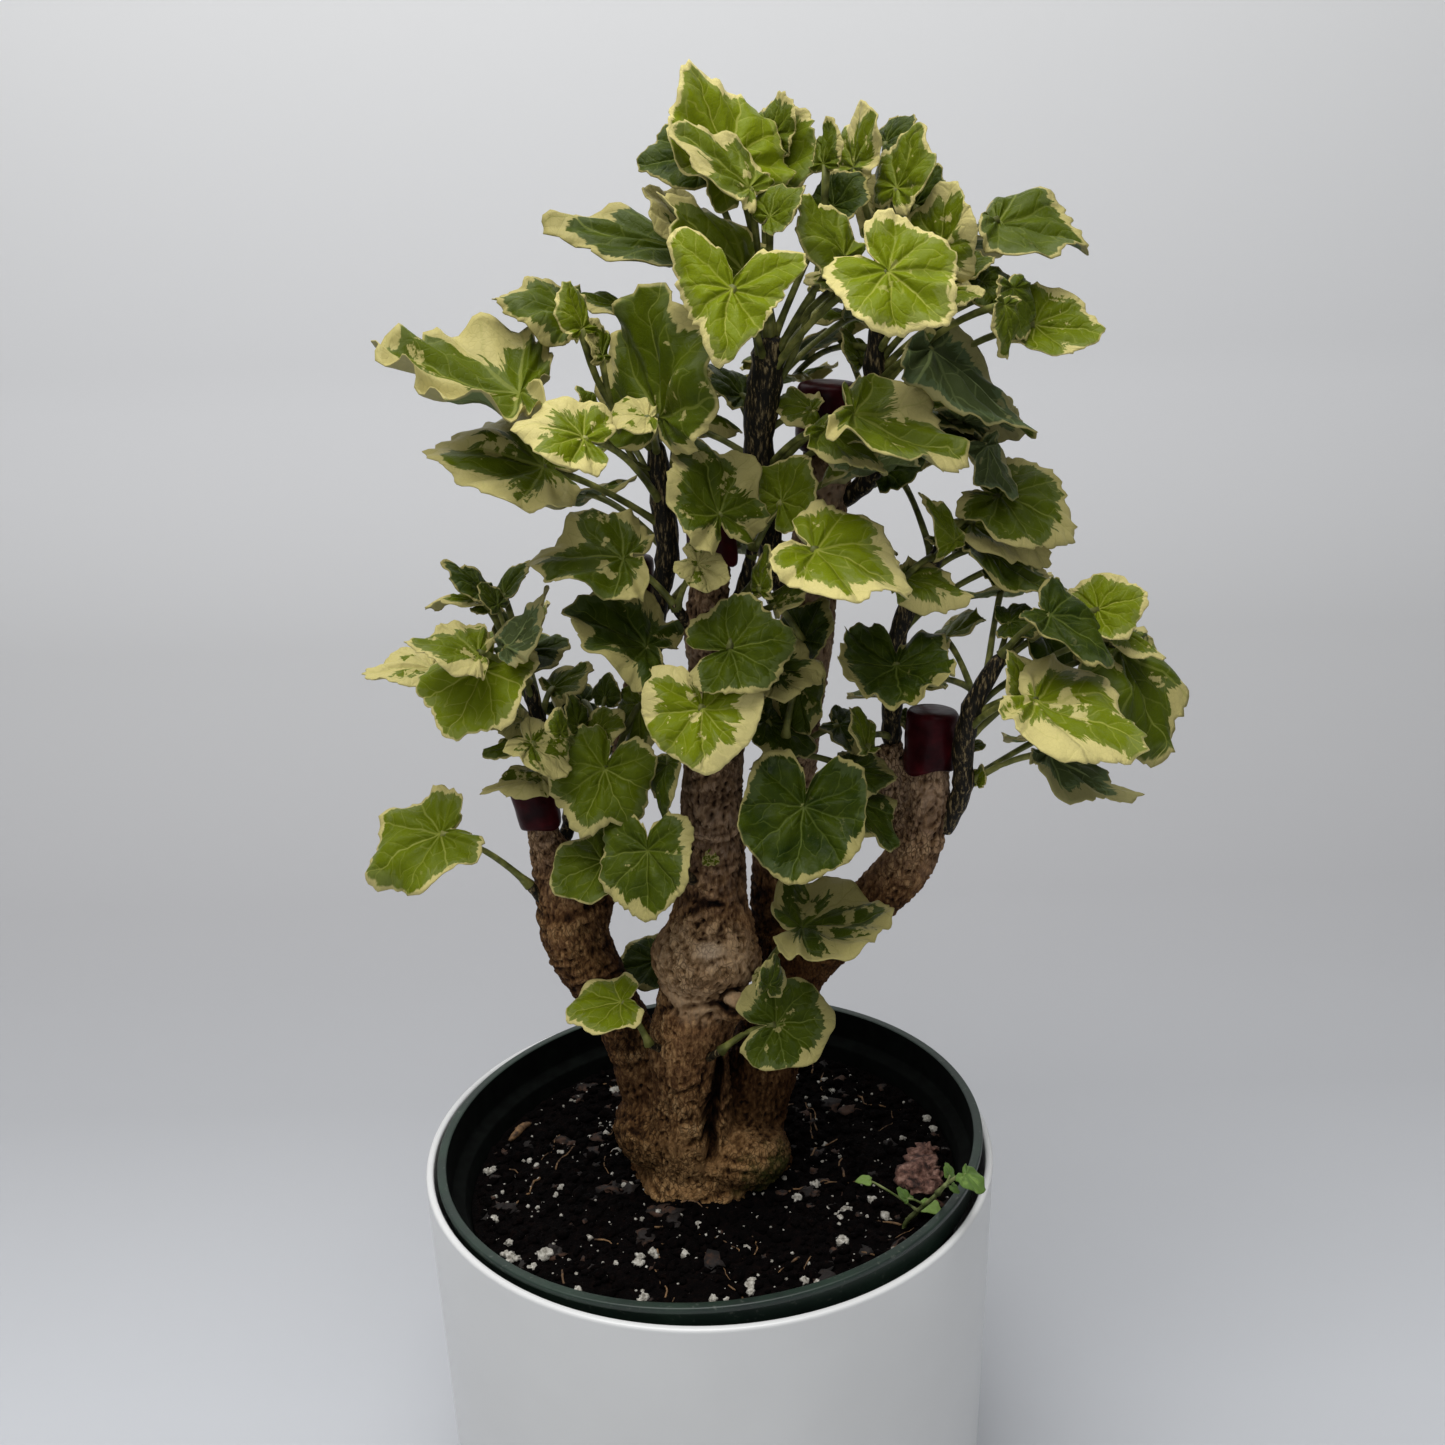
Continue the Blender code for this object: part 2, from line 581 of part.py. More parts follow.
def make_soil(seedling_root):
    """The soil, its top raised by a formula, with a plain hole for each stem that stands in it."""
    sides = ROUND_SIDES
    wall = POT_WALL + GAP
    radii = [0.25, 0.45, 0.64, 0.82, 1.0]
    rings = [
        (pot_outer_r(POT_FLOOR) - wall - 0.3, POT_FLOOR + GAP),
        (pot_outer_r(SOIL_TOP) - wall, SOIL_TOP),
    ]
    verts = [(0, 0, POT_FLOOR + GAP)]
    for radius, height in rings:
        for i in range(sides):
            turn = 2 * math.pi * i / sides
            verts.append((radius * math.cos(turn), radius * math.sin(turn), height))
    outer = rings[1][0]
    for share in reversed(radii[:-1]):
        for i in range(sides):
            turn = 2 * math.pi * i / sides
            x, y = outer * share * math.cos(turn), outer * share * math.sin(turn)
            bumps = math.sin(0.13 * x + 1.0) * math.cos(0.11 * y) + 0.6 * math.sin(0.21 * x - 0.17 * y)
            verts.append((x, y, SOIL_TOP + SOIL_RELIEF * (1 - share) + 0.6 * SOIL_RELIEF * bumps))
    verts.append((0, 0, SOIL_TOP + SOIL_RELIEF))
    faces = []
    count = 2 + len(radii) - 1
    for i in range(sides):
        j = (i + 1) % sides
        faces.append((0, 1 + j, 1 + i))
        for k in range(count - 1):
            low, high = 1 + k * sides, 1 + (k + 1) * sides
            faces.append((low + i, low + j, high + j))
            faces.append((low + i, high + j, high + i))
        last = 1 + (count - 1) * sides
        faces.append((last + i, last + j, len(verts) - 1))
    soil = mesh_object("potting_soil", in_pot(verts), faces, material("potting_soil"))
    verts, faces = loft([foot_ring(FOOT_BOTTOM - GAP, 1, GAP + 0.1), foot_ring(FOOT_TOP + 8, 1, GAP + 0.1)])
    cutters = [mesh_object("foot_hole", verts, faces, None)]
    cutters.append(socket_cutter(seedling_root))
    combine(soil, cutters, "DIFFERENCE")
    return soil


def socket_cutter(root):
    """A plain hole for the peg of a stem: a little wider and deeper than the peg."""
    start, after, radius = root
    direction = (after - start).normalized()
    end = start + direction * ((after - start).length + 2)
    verts, faces = tube([start - direction * GAP, end], [radius + GAP] * 2, 6)
    return mesh_object("socket", verts, faces, None)


def make_trunk(roots):
    """Canes grown together at the foot, with the knobs and the sockets of the shoots."""
    verts, faces = loft([
        foot_ring(FOOT_BOTTOM, 0.94), foot_ring(FOOT_BOTTOM + 2, 1), foot_ring(FOOT_TOP - 2.5, 1),
        foot_ring(FOOT_TOP + 3, 0.9), foot_ring(FOOT_TOP + 10, 0.72),
    ])
    trunk = mesh_object("trunk", verts, faces, material("trunk"))
    pieces = []
    for name, path in CANES.items():
        verts, faces = tube([p[:3] for p in path], [p[3] for p in path], CANE_SIDES)
        pieces.append(mesh_object("cane_" + name, verts, faces, None))
    for centre, radii, turn in KNOBS:
        verts, faces = ball(centre, radii, turn)
        pieces.append(mesh_object("knob", verts, faces, None))
    combine(trunk, pieces, "UNION")
    combine(trunk, [socket_cutter(root) for root in roots], "DIFFERENCE")
    return trunk


def make_wax_cap(name, finish):
    """A dipped cup of wax over the end of a cane, its lower edge uneven."""
    cane, reach = WAX_CAPS[name]
    end = Vector(CANES[cane][-1][:3])
    before = Vector(CANES[cane][-2][:3])
    radius = CANES[cane][-1][3]
    axis = (end - before).normalized()
    first, second = across(axis)
    inner = radius + GAP
    outer = inner + WAX_WALL
    rows = [
        (0, GAP + WAX_WALL), (outer - 1.4, GAP + WAX_WALL), (outer - 0.3, GAP + WAX_WALL - 0.8),
        (outer, -2.0), (outer, None), (inner, None), (inner, GAP), (0, GAP),
    ]
    verts = []
    rings = []
    for r, along in rows:
        if r == 0:
            rings.append([len(verts)])
            verts.append(end + axis * along)
            continue
        rings.append(list(range(len(verts), len(verts) + CANE_SIDES)))
        for i in range(CANE_SIDES):
            turn = 2 * math.pi * i / CANE_SIDES
            drip = -reach + 0.9 * math.sin(2 * turn + reach) + 0.6 * math.sin(3 * turn)
            offset = drip if along is None else along
            verts.append(end + axis * offset + (first * math.cos(turn) + second * math.sin(turn)) * r)
    faces = []
    for high, low in zip(rings, rings[1:]):
        for i in range(CANE_SIDES):
            j = (i + 1) % CANE_SIDES
            if len(high) == 1:
                faces.append((high[0], low[i], low[j]))
            elif len(low) == 1:
                faces.append((high[i], low[0], high[j]))
            else:
                faces.append((high[i], low[i], low[j], high[j]))
    return mesh_object(name, verts, faces, finish)


def outline(length):
    """The cut edge of a round blade as (turn from the tip, reach): lobes, and the notch at the stalk."""
    if length >= LARGE_FROM:
        return [(-155, 0.72), (-125, 0.92), (-96, 0.88), (-64, 1.0), (-32, 0.93), (0, 1.0),
                (32, 0.93), (64, 1.0), (96, 0.88), (125, 0.92), (155, 0.72), (180, 0.14)]
    if length >= MIDDLE_FROM:
        return [(-145, 0.78), (-100, 0.95), (-66, 0.88), (-34, 0.97), (0, 1.0),
                (40, 0.90), (86, 0.96), (140, 0.80), (180, 0.14)]
    return [(-130, 0.78), (-66, 0.92), (0, 1.0), (66, 0.92), (130, 0.78), (180, 0.14)]


def blade(place, tip, face, length, cup, width, back, half):
    """A thin cupped blade, fanned from the place where its stalk joins, alike on both faces."""
    rim = rim_of(place, tip, face, length, cup, width, back)
    verts = [v + face * half for v in rim] + [v - face * half for v in rim]
    verts += [place + face * half, place - face * half]
    n = len(rim)
    faces = rim_faces(n)
    for i in range(n):
        j = (i + 1) % n
        faces.append((j, i, 2 * n))
        faces.append((n + i, n + j, 2 * n + 1))
    return verts, faces


def rim_of(place, tip, face, length, cup, width, back):
    side = tip.cross(face).normalized()
    rim = []
    for turn, reach in outline(length):
        x = math.sin(math.radians(turn)) * reach * width
        y = math.cos(math.radians(turn)) * reach
        y *= back if y < 0 else 1
        ahead = max(y, 0) ** 2
        rise = cup * (0.55 * x * x + 0.25 * ahead) - 0.06 * ahead
        rim.append(place + (side * (x * math.cos(1.6 * cup * x)) + tip * y + face * rise) * length)
    return rim


def rim_faces(n):
    """The edge of a blade, between its upper points and its lower ones."""
    faces = []
    for i in range(n):
        j = (i + 1) % n
        faces.append((i, j, n + i))
        faces.append((j, n + j, n + i))
    return faces


def bezier(start, middle, end, share):
    return start * (1 - share) ** 2 + middle * 2 * share * (1 - share) + end * share ** 2


def stalk_path(root, place, face, lift):
    """The bowed run of a stalk from its blade to its stem, and the side of the blade it leaves."""
    span = (place - root).length
    middle = (root + place) / 2 + Vector((0, 0, span * lift))
    away = (middle - place).normalized()
    side = face if away.dot(face) > 0 else -face
    middle += side * max(LEAST_RISE - away.dot(side), 0) * span * 0.5
    steps = 1 if span < 10 else 2 if span < 34 else 3
    return [bezier(place, middle, root, k / steps) for k in range(steps + 1)], side


def stalk(root, place, face, lift, radius):
    path, side = stalk_path(root, place, face, lift)
    return tube(path, [radius] * len(path), 3)


def whole_leaf(spot, tip, face, length, cup, width, back, root, lift):
    """A blade and its stalk in one skin: the stalk's last ring opens into the blade's fan."""
    rim = rim_of(spot, tip, face, length, cup, width, back)
    n = len(rim)
    path, side = stalk_path(root, spot, face, lift)
    near, far = (0, n) if side == face else (n, 0)
    verts = [v + face * BLADE_HALF for v in rim] + [v - face * BLADE_HALF for v in rim]
    faces = rim_faces(n)
    verts.append(spot - side * BLADE_HALF)
    for i in range(n):
        faces.append((far + i, far + (i + 1) % n, 2 * n))
    radius = min(STALK_R, 0.09 * length)
    turns = [math.radians(a) for a in (-120, 0, 120)]
    spokes = [tip * math.cos(a) + tip.cross(face) * math.sin(a) for a in turns]
    ring = len(verts)
    verts += [spot + side * BLADE_HALF + spoke * radius for spoke in spokes]
    owner = [min(range(3), key=lambda k: -spokes[k].dot((v - spot).normalized())) for v in rim]
    for i in range(n):
        j = (i + 1) % n
        faces.append((near + i, near + j, ring + owner[i]))
        if owner[i] != owner[j]:
            faces.append((near + j, ring + owner[j], ring + owner[i]))
    heading = side
    for k in range(1, len(path)):
        ahead = (path[min(k + 1, len(path) - 1)] - path[k - 1]).normalized()
        turn = heading.rotation_difference(ahead)
        spokes = [turn @ spoke for spoke in spokes]
        heading = ahead
        verts += [path[k] + spoke * radius for spoke in spokes]
        low, high = ring + 3 * (k - 1), ring + 3 * k
        for i in range(3):
            j = (i + 1) % 3
            faces.append((low + i, low + j, high + j))
            faces.append((low + i, high + j, high + i))
    faces.append((len(verts) - 3, len(verts) - 2, len(verts) - 1))
    return verts, faces


def tidy(thing):
    """Merges the slivers that a union leaves in flat places, as far as the skin stays closed."""
    for turn in FLAT_TURNS:
        shape = bmesh.new()
        shape.from_mesh(thing.data)
        limit = math.radians(turn)
        bmesh.ops.remove_doubles(shape, verts=shape.verts, dist=SLIVER)
        bmesh.ops.dissolve_limit(shape, angle_limit=limit, verts=shape.verts, edges=shape.edges)
        bmesh.ops.triangulate(shape, faces=shape.faces)
        bmesh.ops.remove_doubles(shape, verts=shape.verts, dist=SLIVER)
        closed = all(len(edge.link_faces) == 2 for edge in shape.edges)
        if closed:
            shape.to_mesh(thing.data)
        shape.free()
        if closed:
            return


def outward(thing):
    """Turns a closed mesh's faces to point out."""
    shape = bmesh.new()
    shape.from_mesh(thing.data)
    bmesh.ops.recalc_face_normals(shape, faces=shape.faces)
    shape.to_mesh(thing.data)
    shape.free()
    return thing


def stalk_root(stem, place, drop, taken):
    """Where on its stem a leaf's stalk starts: lower than the blade by a share of its distance,
    and clear of the stalks already there."""
    if len(stem) == 2:
        return stem[0].lerp(stem[1], 0.85)
    best = None
    for low, high in zip(stem[1:], stem[2:]):
        for k in range(13):
            point = low.lerp(high, k / 12)
            out = Vector((place.x - point.x, place.y - point.y, 0)).length
            miss = abs((place.z - point.z) - drop * out)
            miss += sum(2.5 * max(STALK_SPACE - (point - other).length, 0) for other in taken)
            if best is None or miss < best[0]:
                best = (miss, point)
    return best[1]


def leaf_frame(row):
    """Place, tip direction, face direction, width and back lobes of a leaf from its row: a leaf that
    looks narrower than it grows is rolled about its midrib, its face kept upwards, then narrowed,
    and its lobes behind the stalk are short."""
    x, z, front, length, aim, lean, breadth, cup = row
    place = seen(x, z, front)
    right, up, toward = seen_axes(place)
    aim, lean = math.radians(aim), math.radians(lean)
    tip = (right * math.sin(aim) + up * math.cos(aim)) * math.cos(lean) + toward * math.sin(lean)
    face = (toward - tip * toward.dot(tip)).normalized()
    roll = min(math.acos(min(abs(breadth) / (NATURAL_BREADTH * length), 1)), MOST_ROLL)
    width = abs(breadth) / (FULL_BREADTH * length * math.cos(roll))
    back = min(max((abs(breadth) / length - 0.3) / 1.2, 0.25), 1)
    turned = Matrix.Rotation(roll, 3, tip) @ face
    if turned.z < 0:
        turned = Matrix.Rotation(-roll, 3, tip) @ face
    if breadth < 0:
        turned = -turned
    return place, tip, turned, length, cup, width, back


def back_leaves(name, stem):
    """Leaves on the side away from the front, turned out and up."""
    count, reach = BACK_LEAVES.get(name, (0, 0))
    draw = random.Random(SEED)
    leaves = []
    for i in range(count):
        share = (i + 0.5) / count
        turn = math.radians(90 + ((i * GOLDEN) % 170) - 85)
        out = Vector((math.cos(turn), math.sin(turn), 0))
        low = stem[max(len(stem) // 2 - 1, 1)]
        base = low.lerp(stem[-1], share)
        length = 15 + 7 * draw.random()
        place = base + out * reach * (0.75 + 0.4 * draw.random()) + Vector((0, 0, 8 + 10 * share))
        tip = (out + Vector((0, 0, 0.35 * draw.random() - 0.25))).normalized()
        face = (Vector((0, 0, 1)) - tip * tip.z).normalized()
        face = Matrix.Rotation(math.radians(50 * draw.random() - 25), 3, tip) @ face
        leaves.append((place, tip, face, length, 0.15, 0.95, 0.8))
    return leaves


def tree_of(verts, faces):
    return BVHTree.FromPolygons([tuple(v) for v in verts], faces)


# Moves tried for a blade or a stalk that would cross something of another node
SHIFTS = [0, 3, -3, 6, -6, 9, -9, 12, -12, 16, -16, 20, -20, 25, -25]
STALK_WAYS = [(0.55, 0.18), (0.55, 0.34), (0.55, 0.02), (0.2, 0.2), (0.2, 0.0), (-0.2, 0.1),
              (0.9, 0.1), (0.55, -0.12)]


def crosses_itself(verts, faces):
    tree = tree_of(verts, faces)
    return any(not set(faces[a]) & set(faces[b]) for a, b in tree.overlap(tree))


class Crown:
    """Keeps what stands in each node, so that a new leaf can be bent clear of the others."""

    def __init__(self):
        self.trees = []
        self.roots = {}

    def add(self, node, kind, verts, faces):
        centre = sum((Vector(v) for v in verts), Vector()) / len(verts)
        reach = max((Vector(v) - centre).length for v in verts)
        self.trees.append((node, kind, centre, reach, tree_of(verts, faces)))

    def crossings(self, node, kind, verts, faces):
        """How many things of other nodes it crosses, and how many blades of its own node."""
        centre = sum((Vector(v) for v in verts), Vector()) / len(verts)
        reach = max((Vector(v) - centre).length for v in verts)
        tree = tree_of(verts, faces)
        other, own = 0, 0
        for there, what, middle, radius, known in self.trees:
            if there == node and not (what == "blade" and kind == "blade"):
                continue
            if (middle - centre).length > radius + reach:
                continue
            if known.overlap(tree):
                if there == node:
                    own += 1
                else:
                    other += 1
        return other, own

    def settle(self, node, stem, leaf):
        """Tries a leaf in place, then nearer or farther, until it is clear."""
        place, tip, face, length, cup, width, back = leaf
        toward = seen_axes(place)[2]
        fallback = None
        for shift in SHIFTS:
            spot = place + toward * shift
            tested = blade(spot, tip, face, length, cup, width, back, BLADE_HALF + CLEAR)
            other, own = self.crossings(node, "blade", *tested)
            if other:
                continue
            for drop, lift in STALK_WAYS:
                root = stalk_root(stem, spot, drop, self.roots.get(node, []))
                fat = stalk(root, spot, face, lift, STALK_R + CLEAR)
                if self.crossings(node, "stalk", *fat)[0]:
                    continue
                choice = (spot, tip, face, length, cup, width, back, root, lift)
                if crosses_itself(*whole_leaf(*choice)):
                    continue
                if not own:
                    return choice
                fallback = fallback or choice
                break
        return fallback


def shoot_stems():
    return {name: [seen(*p[:3]) for p in rows[0]] for name, rows in SHOOTS.items()}


def settle_leaves(stems):
    """Places every leaf, the front ones first."""
    crown = Crown()
    for name, path in CANES.items():
        crown.add("trunk", "cane", *tube([p[:3] for p in path], [p[3] + 0.3 for p in path], CANE_SIDES))
    for centre, radii, turn in KNOBS:
        crown.add("trunk", "cane", *ball(centre, radii, turn))
    for name, (cane, reach) in WAX_CAPS.items():
        end = Vector(CANES[cane][-1][:3])
        axis = (end - Vector(CANES[cane][-2][:3])).normalized()
        radius = CANES[cane][-1][3] + GAP + WAX_WALL
        crown.add(name, "cap", *tube([end - axis * (reach + 2), end + axis * 1.8], [radius + 0.2] * 2, CANE_SIDES))
    for name, rows in SHOOTS.items():
        radii = [p[3] + CLEAR for p in rows[0]]
        crown.add(name, "stem", *tube(stems[name], radii, 6))
    chosen = {name: [] for name in SHOOTS}
    for front in (True, False):
        for name, rows in SHOOTS.items():
            stem = stems[name]
            leaves = [leaf_frame(row) for row in rows[1]] if front else back_leaves(name, stem)
            for leaf in leaves:
                choice = crown.settle(name, stem, leaf)
                if choice is None:
                    continue
                spot, tip, face, length, cup, width, back, root, lift = choice
                crown.add(name, "blade", *blade(spot, tip, face, length, cup, width, back, BLADE_HALF))
                crown.add(name, "stalk", *stalk(root, spot, face, lift, STALK_R))
                crown.roots.setdefault(name, []).append(root)
                chosen[name].append(choice)
    return chosen


def make_shoot(name, stem, leaves, finish):
    """One leafy shoot: stem, stalks and blades in one body."""
    radii = [p[3] for p in SHOOTS[name][0]]
    verts, faces = tube(stem, radii, 6)
    shoot = mesh_object(name, verts, faces, finish)
    pieces = []
    for leaf in leaves:
        verts, faces = whole_leaf(*leaf)
        pieces.append(outward(mesh_object("leaf", verts, faces, None)))
    combine(shoot, pieces, "UNION", "MANIFOLD")
    tidy(shoot)
    return shoot


def main():
    clear_scene()
    stems = shoot_stems()
    pegs = {name: (stem[0], stem[1], SHOOTS[name][0][0][3]) for name, stem in stems.items()}
    make_cover_pot()
    make_nursery_pot()
    make_soil(pegs["weed_seedling"])
    make_trunk([peg for name, peg in pegs.items() if name != "weed_seedling"])
    wax = material("wax")
    for name in WAX_CAPS:
        make_wax_cap(name, wax)
    leaf = material("leaf")
    weed = material("weed")
    for name, leaves in settle_leaves(stems).items():
        make_shoot(name, stems[name], leaves, weed if name == "weed_seedling" else leaf)


main()
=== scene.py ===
import math
import random

import bpy
import bmesh
from mathutils import Matrix, Vector, noise
from mathutils.bvhtree import BVHTree


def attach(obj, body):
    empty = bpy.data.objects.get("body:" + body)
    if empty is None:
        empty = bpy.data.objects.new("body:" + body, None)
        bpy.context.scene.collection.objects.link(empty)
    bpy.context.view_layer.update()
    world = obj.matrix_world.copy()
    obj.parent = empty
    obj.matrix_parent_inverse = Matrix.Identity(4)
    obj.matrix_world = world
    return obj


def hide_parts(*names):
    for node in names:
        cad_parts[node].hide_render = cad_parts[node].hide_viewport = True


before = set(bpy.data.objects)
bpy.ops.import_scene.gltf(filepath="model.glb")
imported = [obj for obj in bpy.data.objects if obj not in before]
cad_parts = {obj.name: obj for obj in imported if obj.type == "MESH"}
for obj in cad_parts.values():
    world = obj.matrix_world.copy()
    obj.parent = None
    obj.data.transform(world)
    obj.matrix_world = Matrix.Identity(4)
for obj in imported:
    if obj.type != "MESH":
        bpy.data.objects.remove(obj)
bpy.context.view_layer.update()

# Cover pot: a plain cylinder of white glazed ceramic with a softly rounded rim. It stands on its
# own foot, and the nursery pot is wedged in its mouth.
MM = 0.001  # the scene is in metres, and the sizes here are in millimetres
GAP = 0.35
COVER_MOUTH_R = 85.5
COVER_FOOT_R = 82.8
COVER_HEIGHT = 122.2
COVER_WALL = 2.3
COVER_FLOOR = 3.6
COVER_EDGE_ROUND = 1.2
POT_SIDES = 160


def colour(code):
    """An sRGB hex colour as linear RGBA."""
    parts = [int(code[i:i + 2], 16) / 255 for i in (1, 3, 5)]
    linear = [c / 12.92 if c <= 0.04045 else ((c + 0.055) / 1.055) ** 2.4 for c in parts]
    return (*linear, 1.0)


def feed(tree, node, settings, inputs=()):
    """Gives a node its settings, and its sockets by name or, as inputs, in their order. A socket
    takes a number, a hex colour, an output, or a node, whose first output in use then feeds it.
    Stops are the (place, hex colour) pairs of a ramp."""
    for name, value in settings.items():
        if name == "stops":
            elements = node.color_ramp.elements
            while len(elements) < len(value):
                elements.new(0.5)
            for element, (at, code) in zip(elements, value):
                element.position, element.color = at, colour(code)
        elif name not in node.inputs:
            setattr(node, name, value)
    named = [(node.inputs[name], settings[name]) for name in settings if name in node.inputs]
    for socket, value in named + list(zip([s for s in node.inputs if s.enabled], inputs)):
        if isinstance(value, bpy.types.Node):
            value = next(output for output in value.outputs if output.enabled)
        if isinstance(value, bpy.types.NodeSocket):
            tree.links.new(value, socket)
        else:
            socket.default_value = colour(value) if isinstance(value, str) else value
    return node


def add(tree, kind, *inputs, **settings):
    """Adds a shader node with its settings and links, given as feed takes them."""
    return feed(tree, tree.nodes.new("ShaderNode" + kind), settings, inputs)


def new_material(name):
    """A material with its tree, its Principled shader and the place on the object in metres."""
    material = bpy.data.materials.new(name)
    material.use_nodes = True
    tree = material.node_tree
    return material, tree, tree.nodes["Principled BSDF"], add(tree, "TexCoord").outputs["Object"]


def per(size):
    """The scale of a pattern whose grains are so many millimetres across."""
    return 1 / (size * MM)


def mesh_object(name, verts, faces, materials, slots=None):
    """One smooth object from points in millimetres."""
    mesh = bpy.data.meshes.new(name)
    mesh.from_pydata([(v[0] * MM, v[1] * MM, v[2] * MM) for v in verts], [], faces)
    thing = bpy.data.objects.new(name, mesh)
    bpy.context.scene.collection.objects.link(thing)
    for material in materials:
        mesh.materials.append(material)
    if slots is not None:
        mesh.polygons.foreach_set("material_index", slots)
    mesh.shade_smooth()
    return thing


def turned(profile, sides):
    """Turns a profile of (radius, z) about Z. Its two ends lie on the axis."""
    verts, rings, faces = [], [], []
    for radius, height in profile:
        if radius == 0:
            rings.append([len(verts)] * sides)
            verts.append(Vector((0, 0, height)))
            continue
        rings.append(list(range(len(verts), len(verts) + sides)))
        for i in range(sides):
            turn = 2 * math.pi * i / sides
            verts.append(Vector((radius * math.cos(turn), radius * math.sin(turn), height)))
    for low, high in zip(rings, rings[1:]):
        for i in range(sides):
            j = (i + 1) % sides
            face = [low[i], low[j], high[j], high[i]]
            faces.append([v for k, v in enumerate(face) if v not in face[:k]])
    return verts, faces


def rounded(corners, radius, steps=5):
    """Rounds the inner corners of a profile."""
    points = [corners[0]]
    for before, at, after in zip(corners, corners[1:], corners[2:]):
        at, one, two = Vector(at), Vector(before), Vector(after)
        reach = min(radius, (one - at).length * 0.45, (two - at).length * 0.45)
        start, end = at + (one - at).normalized() * reach, at + (two - at).normalized() * reach
        for k in range(steps + 1):
            t = k / steps
            points.append(tuple(start * (1 - t) ** 2 + at * 2 * t * (1 - t) + end * t ** 2))
    points.append(corners[-1])
    return points


# Glazed ceramic: even white, a soft sheen that drifts a little, and the faintest orange peel
white_glaze, tree, shader, place = new_material("white_glaze")
cloud = add(tree, "TexNoise", place, Scale=per(500 / 9), Detail=3.0)
tint = add(tree, "ValToRGB", cloud, stops=[(0.3, "#D9D9D8"), (0.7, "#E1E1E0")])
gloss = add(tree, "MapRange", cloud, 0.0, 1.0, 0.24, 0.34)
peel = add(tree, "TexNoise", place, Scale=per(10 / 9), Detail=2.0)
bump = add(tree, "Bump", Strength=0.15, Distance=0.1 * MM, Height=peel)
feed(tree, shader, {"Base Color": tint, "Roughness": gloss, "Normal": bump, "IOR": 1.5})

verts, faces = turned(rounded([
    (0, 0), (COVER_FOOT_R, 0), (COVER_MOUTH_R, COVER_HEIGHT),
    (COVER_MOUTH_R - COVER_WALL, COVER_HEIGHT), (COVER_FOOT_R - COVER_WALL, COVER_FLOOR),
    (0, COVER_FLOOR),
], COVER_EDGE_ROUND), POT_SIDES)
cover = mesh_object("cover_pot_glazed", verts, faces, [white_glaze])
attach(cover, "root")
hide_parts("cover_pot")

# Nursery pot: a thin six-inch grower's pot of dark green moulded plastic, satin on its lip and
# duller inside. It sits a little askew, held by its rim band in the mouth of the cover pot.
POT_LIP_R = 82.3
POT_HEIGHT = 120.0
POT_FOOT_R = 59.5
POT_SHOULDER_R = 76.3
POT_SHOULDER_Z = 108.0
POT_BAND_R = 80.9
POT_WALL = 1.1
POT_FLOOR = 1.6
POT_EDGE_ROUND = 0.6
LIP_CENTRE_Z = 126.3
POT_TILT = math.radians(2.4)
POT_AXES = (Matrix.Translation((0, 0, LIP_CENTRE_Z)) @ Matrix.Rotation(-POT_TILT, 4, "Y")
            @ Matrix.Translation((0, 0, -POT_HEIGHT)))

# Moulded polypropylene: dark green, satin, with pale dust caught on it
green_plastic, tree, shader, place = new_material("green_plastic")
flow = add(tree, "TexNoise", place, Scale=per(50 / 3), Detail=4.0, Roughness=0.6)
tint = add(tree, "ValToRGB", flow, stops=[(0.3, "#12201A"), (0.55, "#1B2E23"), (0.8, "#273D2F")])
dust = add(tree, "TexNoise", place, Scale=per(10 / 7), Detail=3.0)
specks = add(tree, "MapRange", dust, 0.62, 0.72, 0.0, 0.35)
dusty = add(tree, "Mix", specks, tint, "#6B6F66", data_type="RGBA")
gloss = add(tree, "MapRange", flow, 0.0, 1.0, 0.36, 0.52)
bump = add(tree, "Bump", Strength=0.25, Distance=0.15 * MM, Height=dust)
feed(tree, shader, {"Base Color": dusty, "Roughness": gloss, "Normal": bump})

# The same plastic inside, with painted shade that darkens it until it is nearly black
inner_plastic, tree, shader, place = new_material("inner_plastic")
shade_mottle = add(tree, "TexNoise", place, Scale=per(25 / 6), Detail=4.0)
tint = add(tree, "ValToRGB", shade_mottle, stops=[(0.35, "#030403"), (0.7, "#0B0F0C")])
feed(tree, shader, {"Base Color": tint, "Roughness": 0.85, "Specular IOR Level": 0.08})

inside = POT_BAND_R - POT_WALL
verts, faces = turned(rounded([
    (0, 0), (POT_FOOT_R, 0), (POT_SHOULDER_R, POT_SHOULDER_Z),
    (POT_BAND_R - 0.5, POT_SHOULDER_Z + 1.2), (POT_BAND_R, POT_HEIGHT - 2.4),
    (POT_LIP_R, POT_HEIGHT - 1.9), (POT_LIP_R, POT_HEIGHT),
    (inside - 0.2, POT_HEIGHT), (inside - 0.7, POT_SHOULDER_Z + 2.2),
    (POT_SHOULDER_R - POT_WALL, POT_SHOULDER_Z + 0.6), (POT_FOOT_R + 0.3 - POT_WALL, POT_FLOOR),
    (0, POT_FLOOR),
], POT_EDGE_ROUND, 4), POT_SIDES)
slots = [int(max(math.hypot(*verts[v].xy) for v in face) < inside - 0.1) for face in faces]
verts = [POT_AXES @ v for v in verts]
pot = mesh_object("nursery_pot_moulded", verts, faces, [green_plastic, inner_plastic], slots)
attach(pot, "root")
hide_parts("nursery_pot")

# Potting soil: near-black peat pressed into the pot, its surface crumbly and a little uneven.
# Crumbs, white perlite, chips of bark and thin roots lie in it and on it.
SOIL_TOP = 104.0
SOIL_R = 73.9
SOIL_DEPTH = 14.0
SOIL_RINGS = 64
SOIL_SIDES = 220
FOOT_CENTRE = Vector((0.0, 1.0))
FOOT_RX = 25.0
FOOT_RY = 18.5


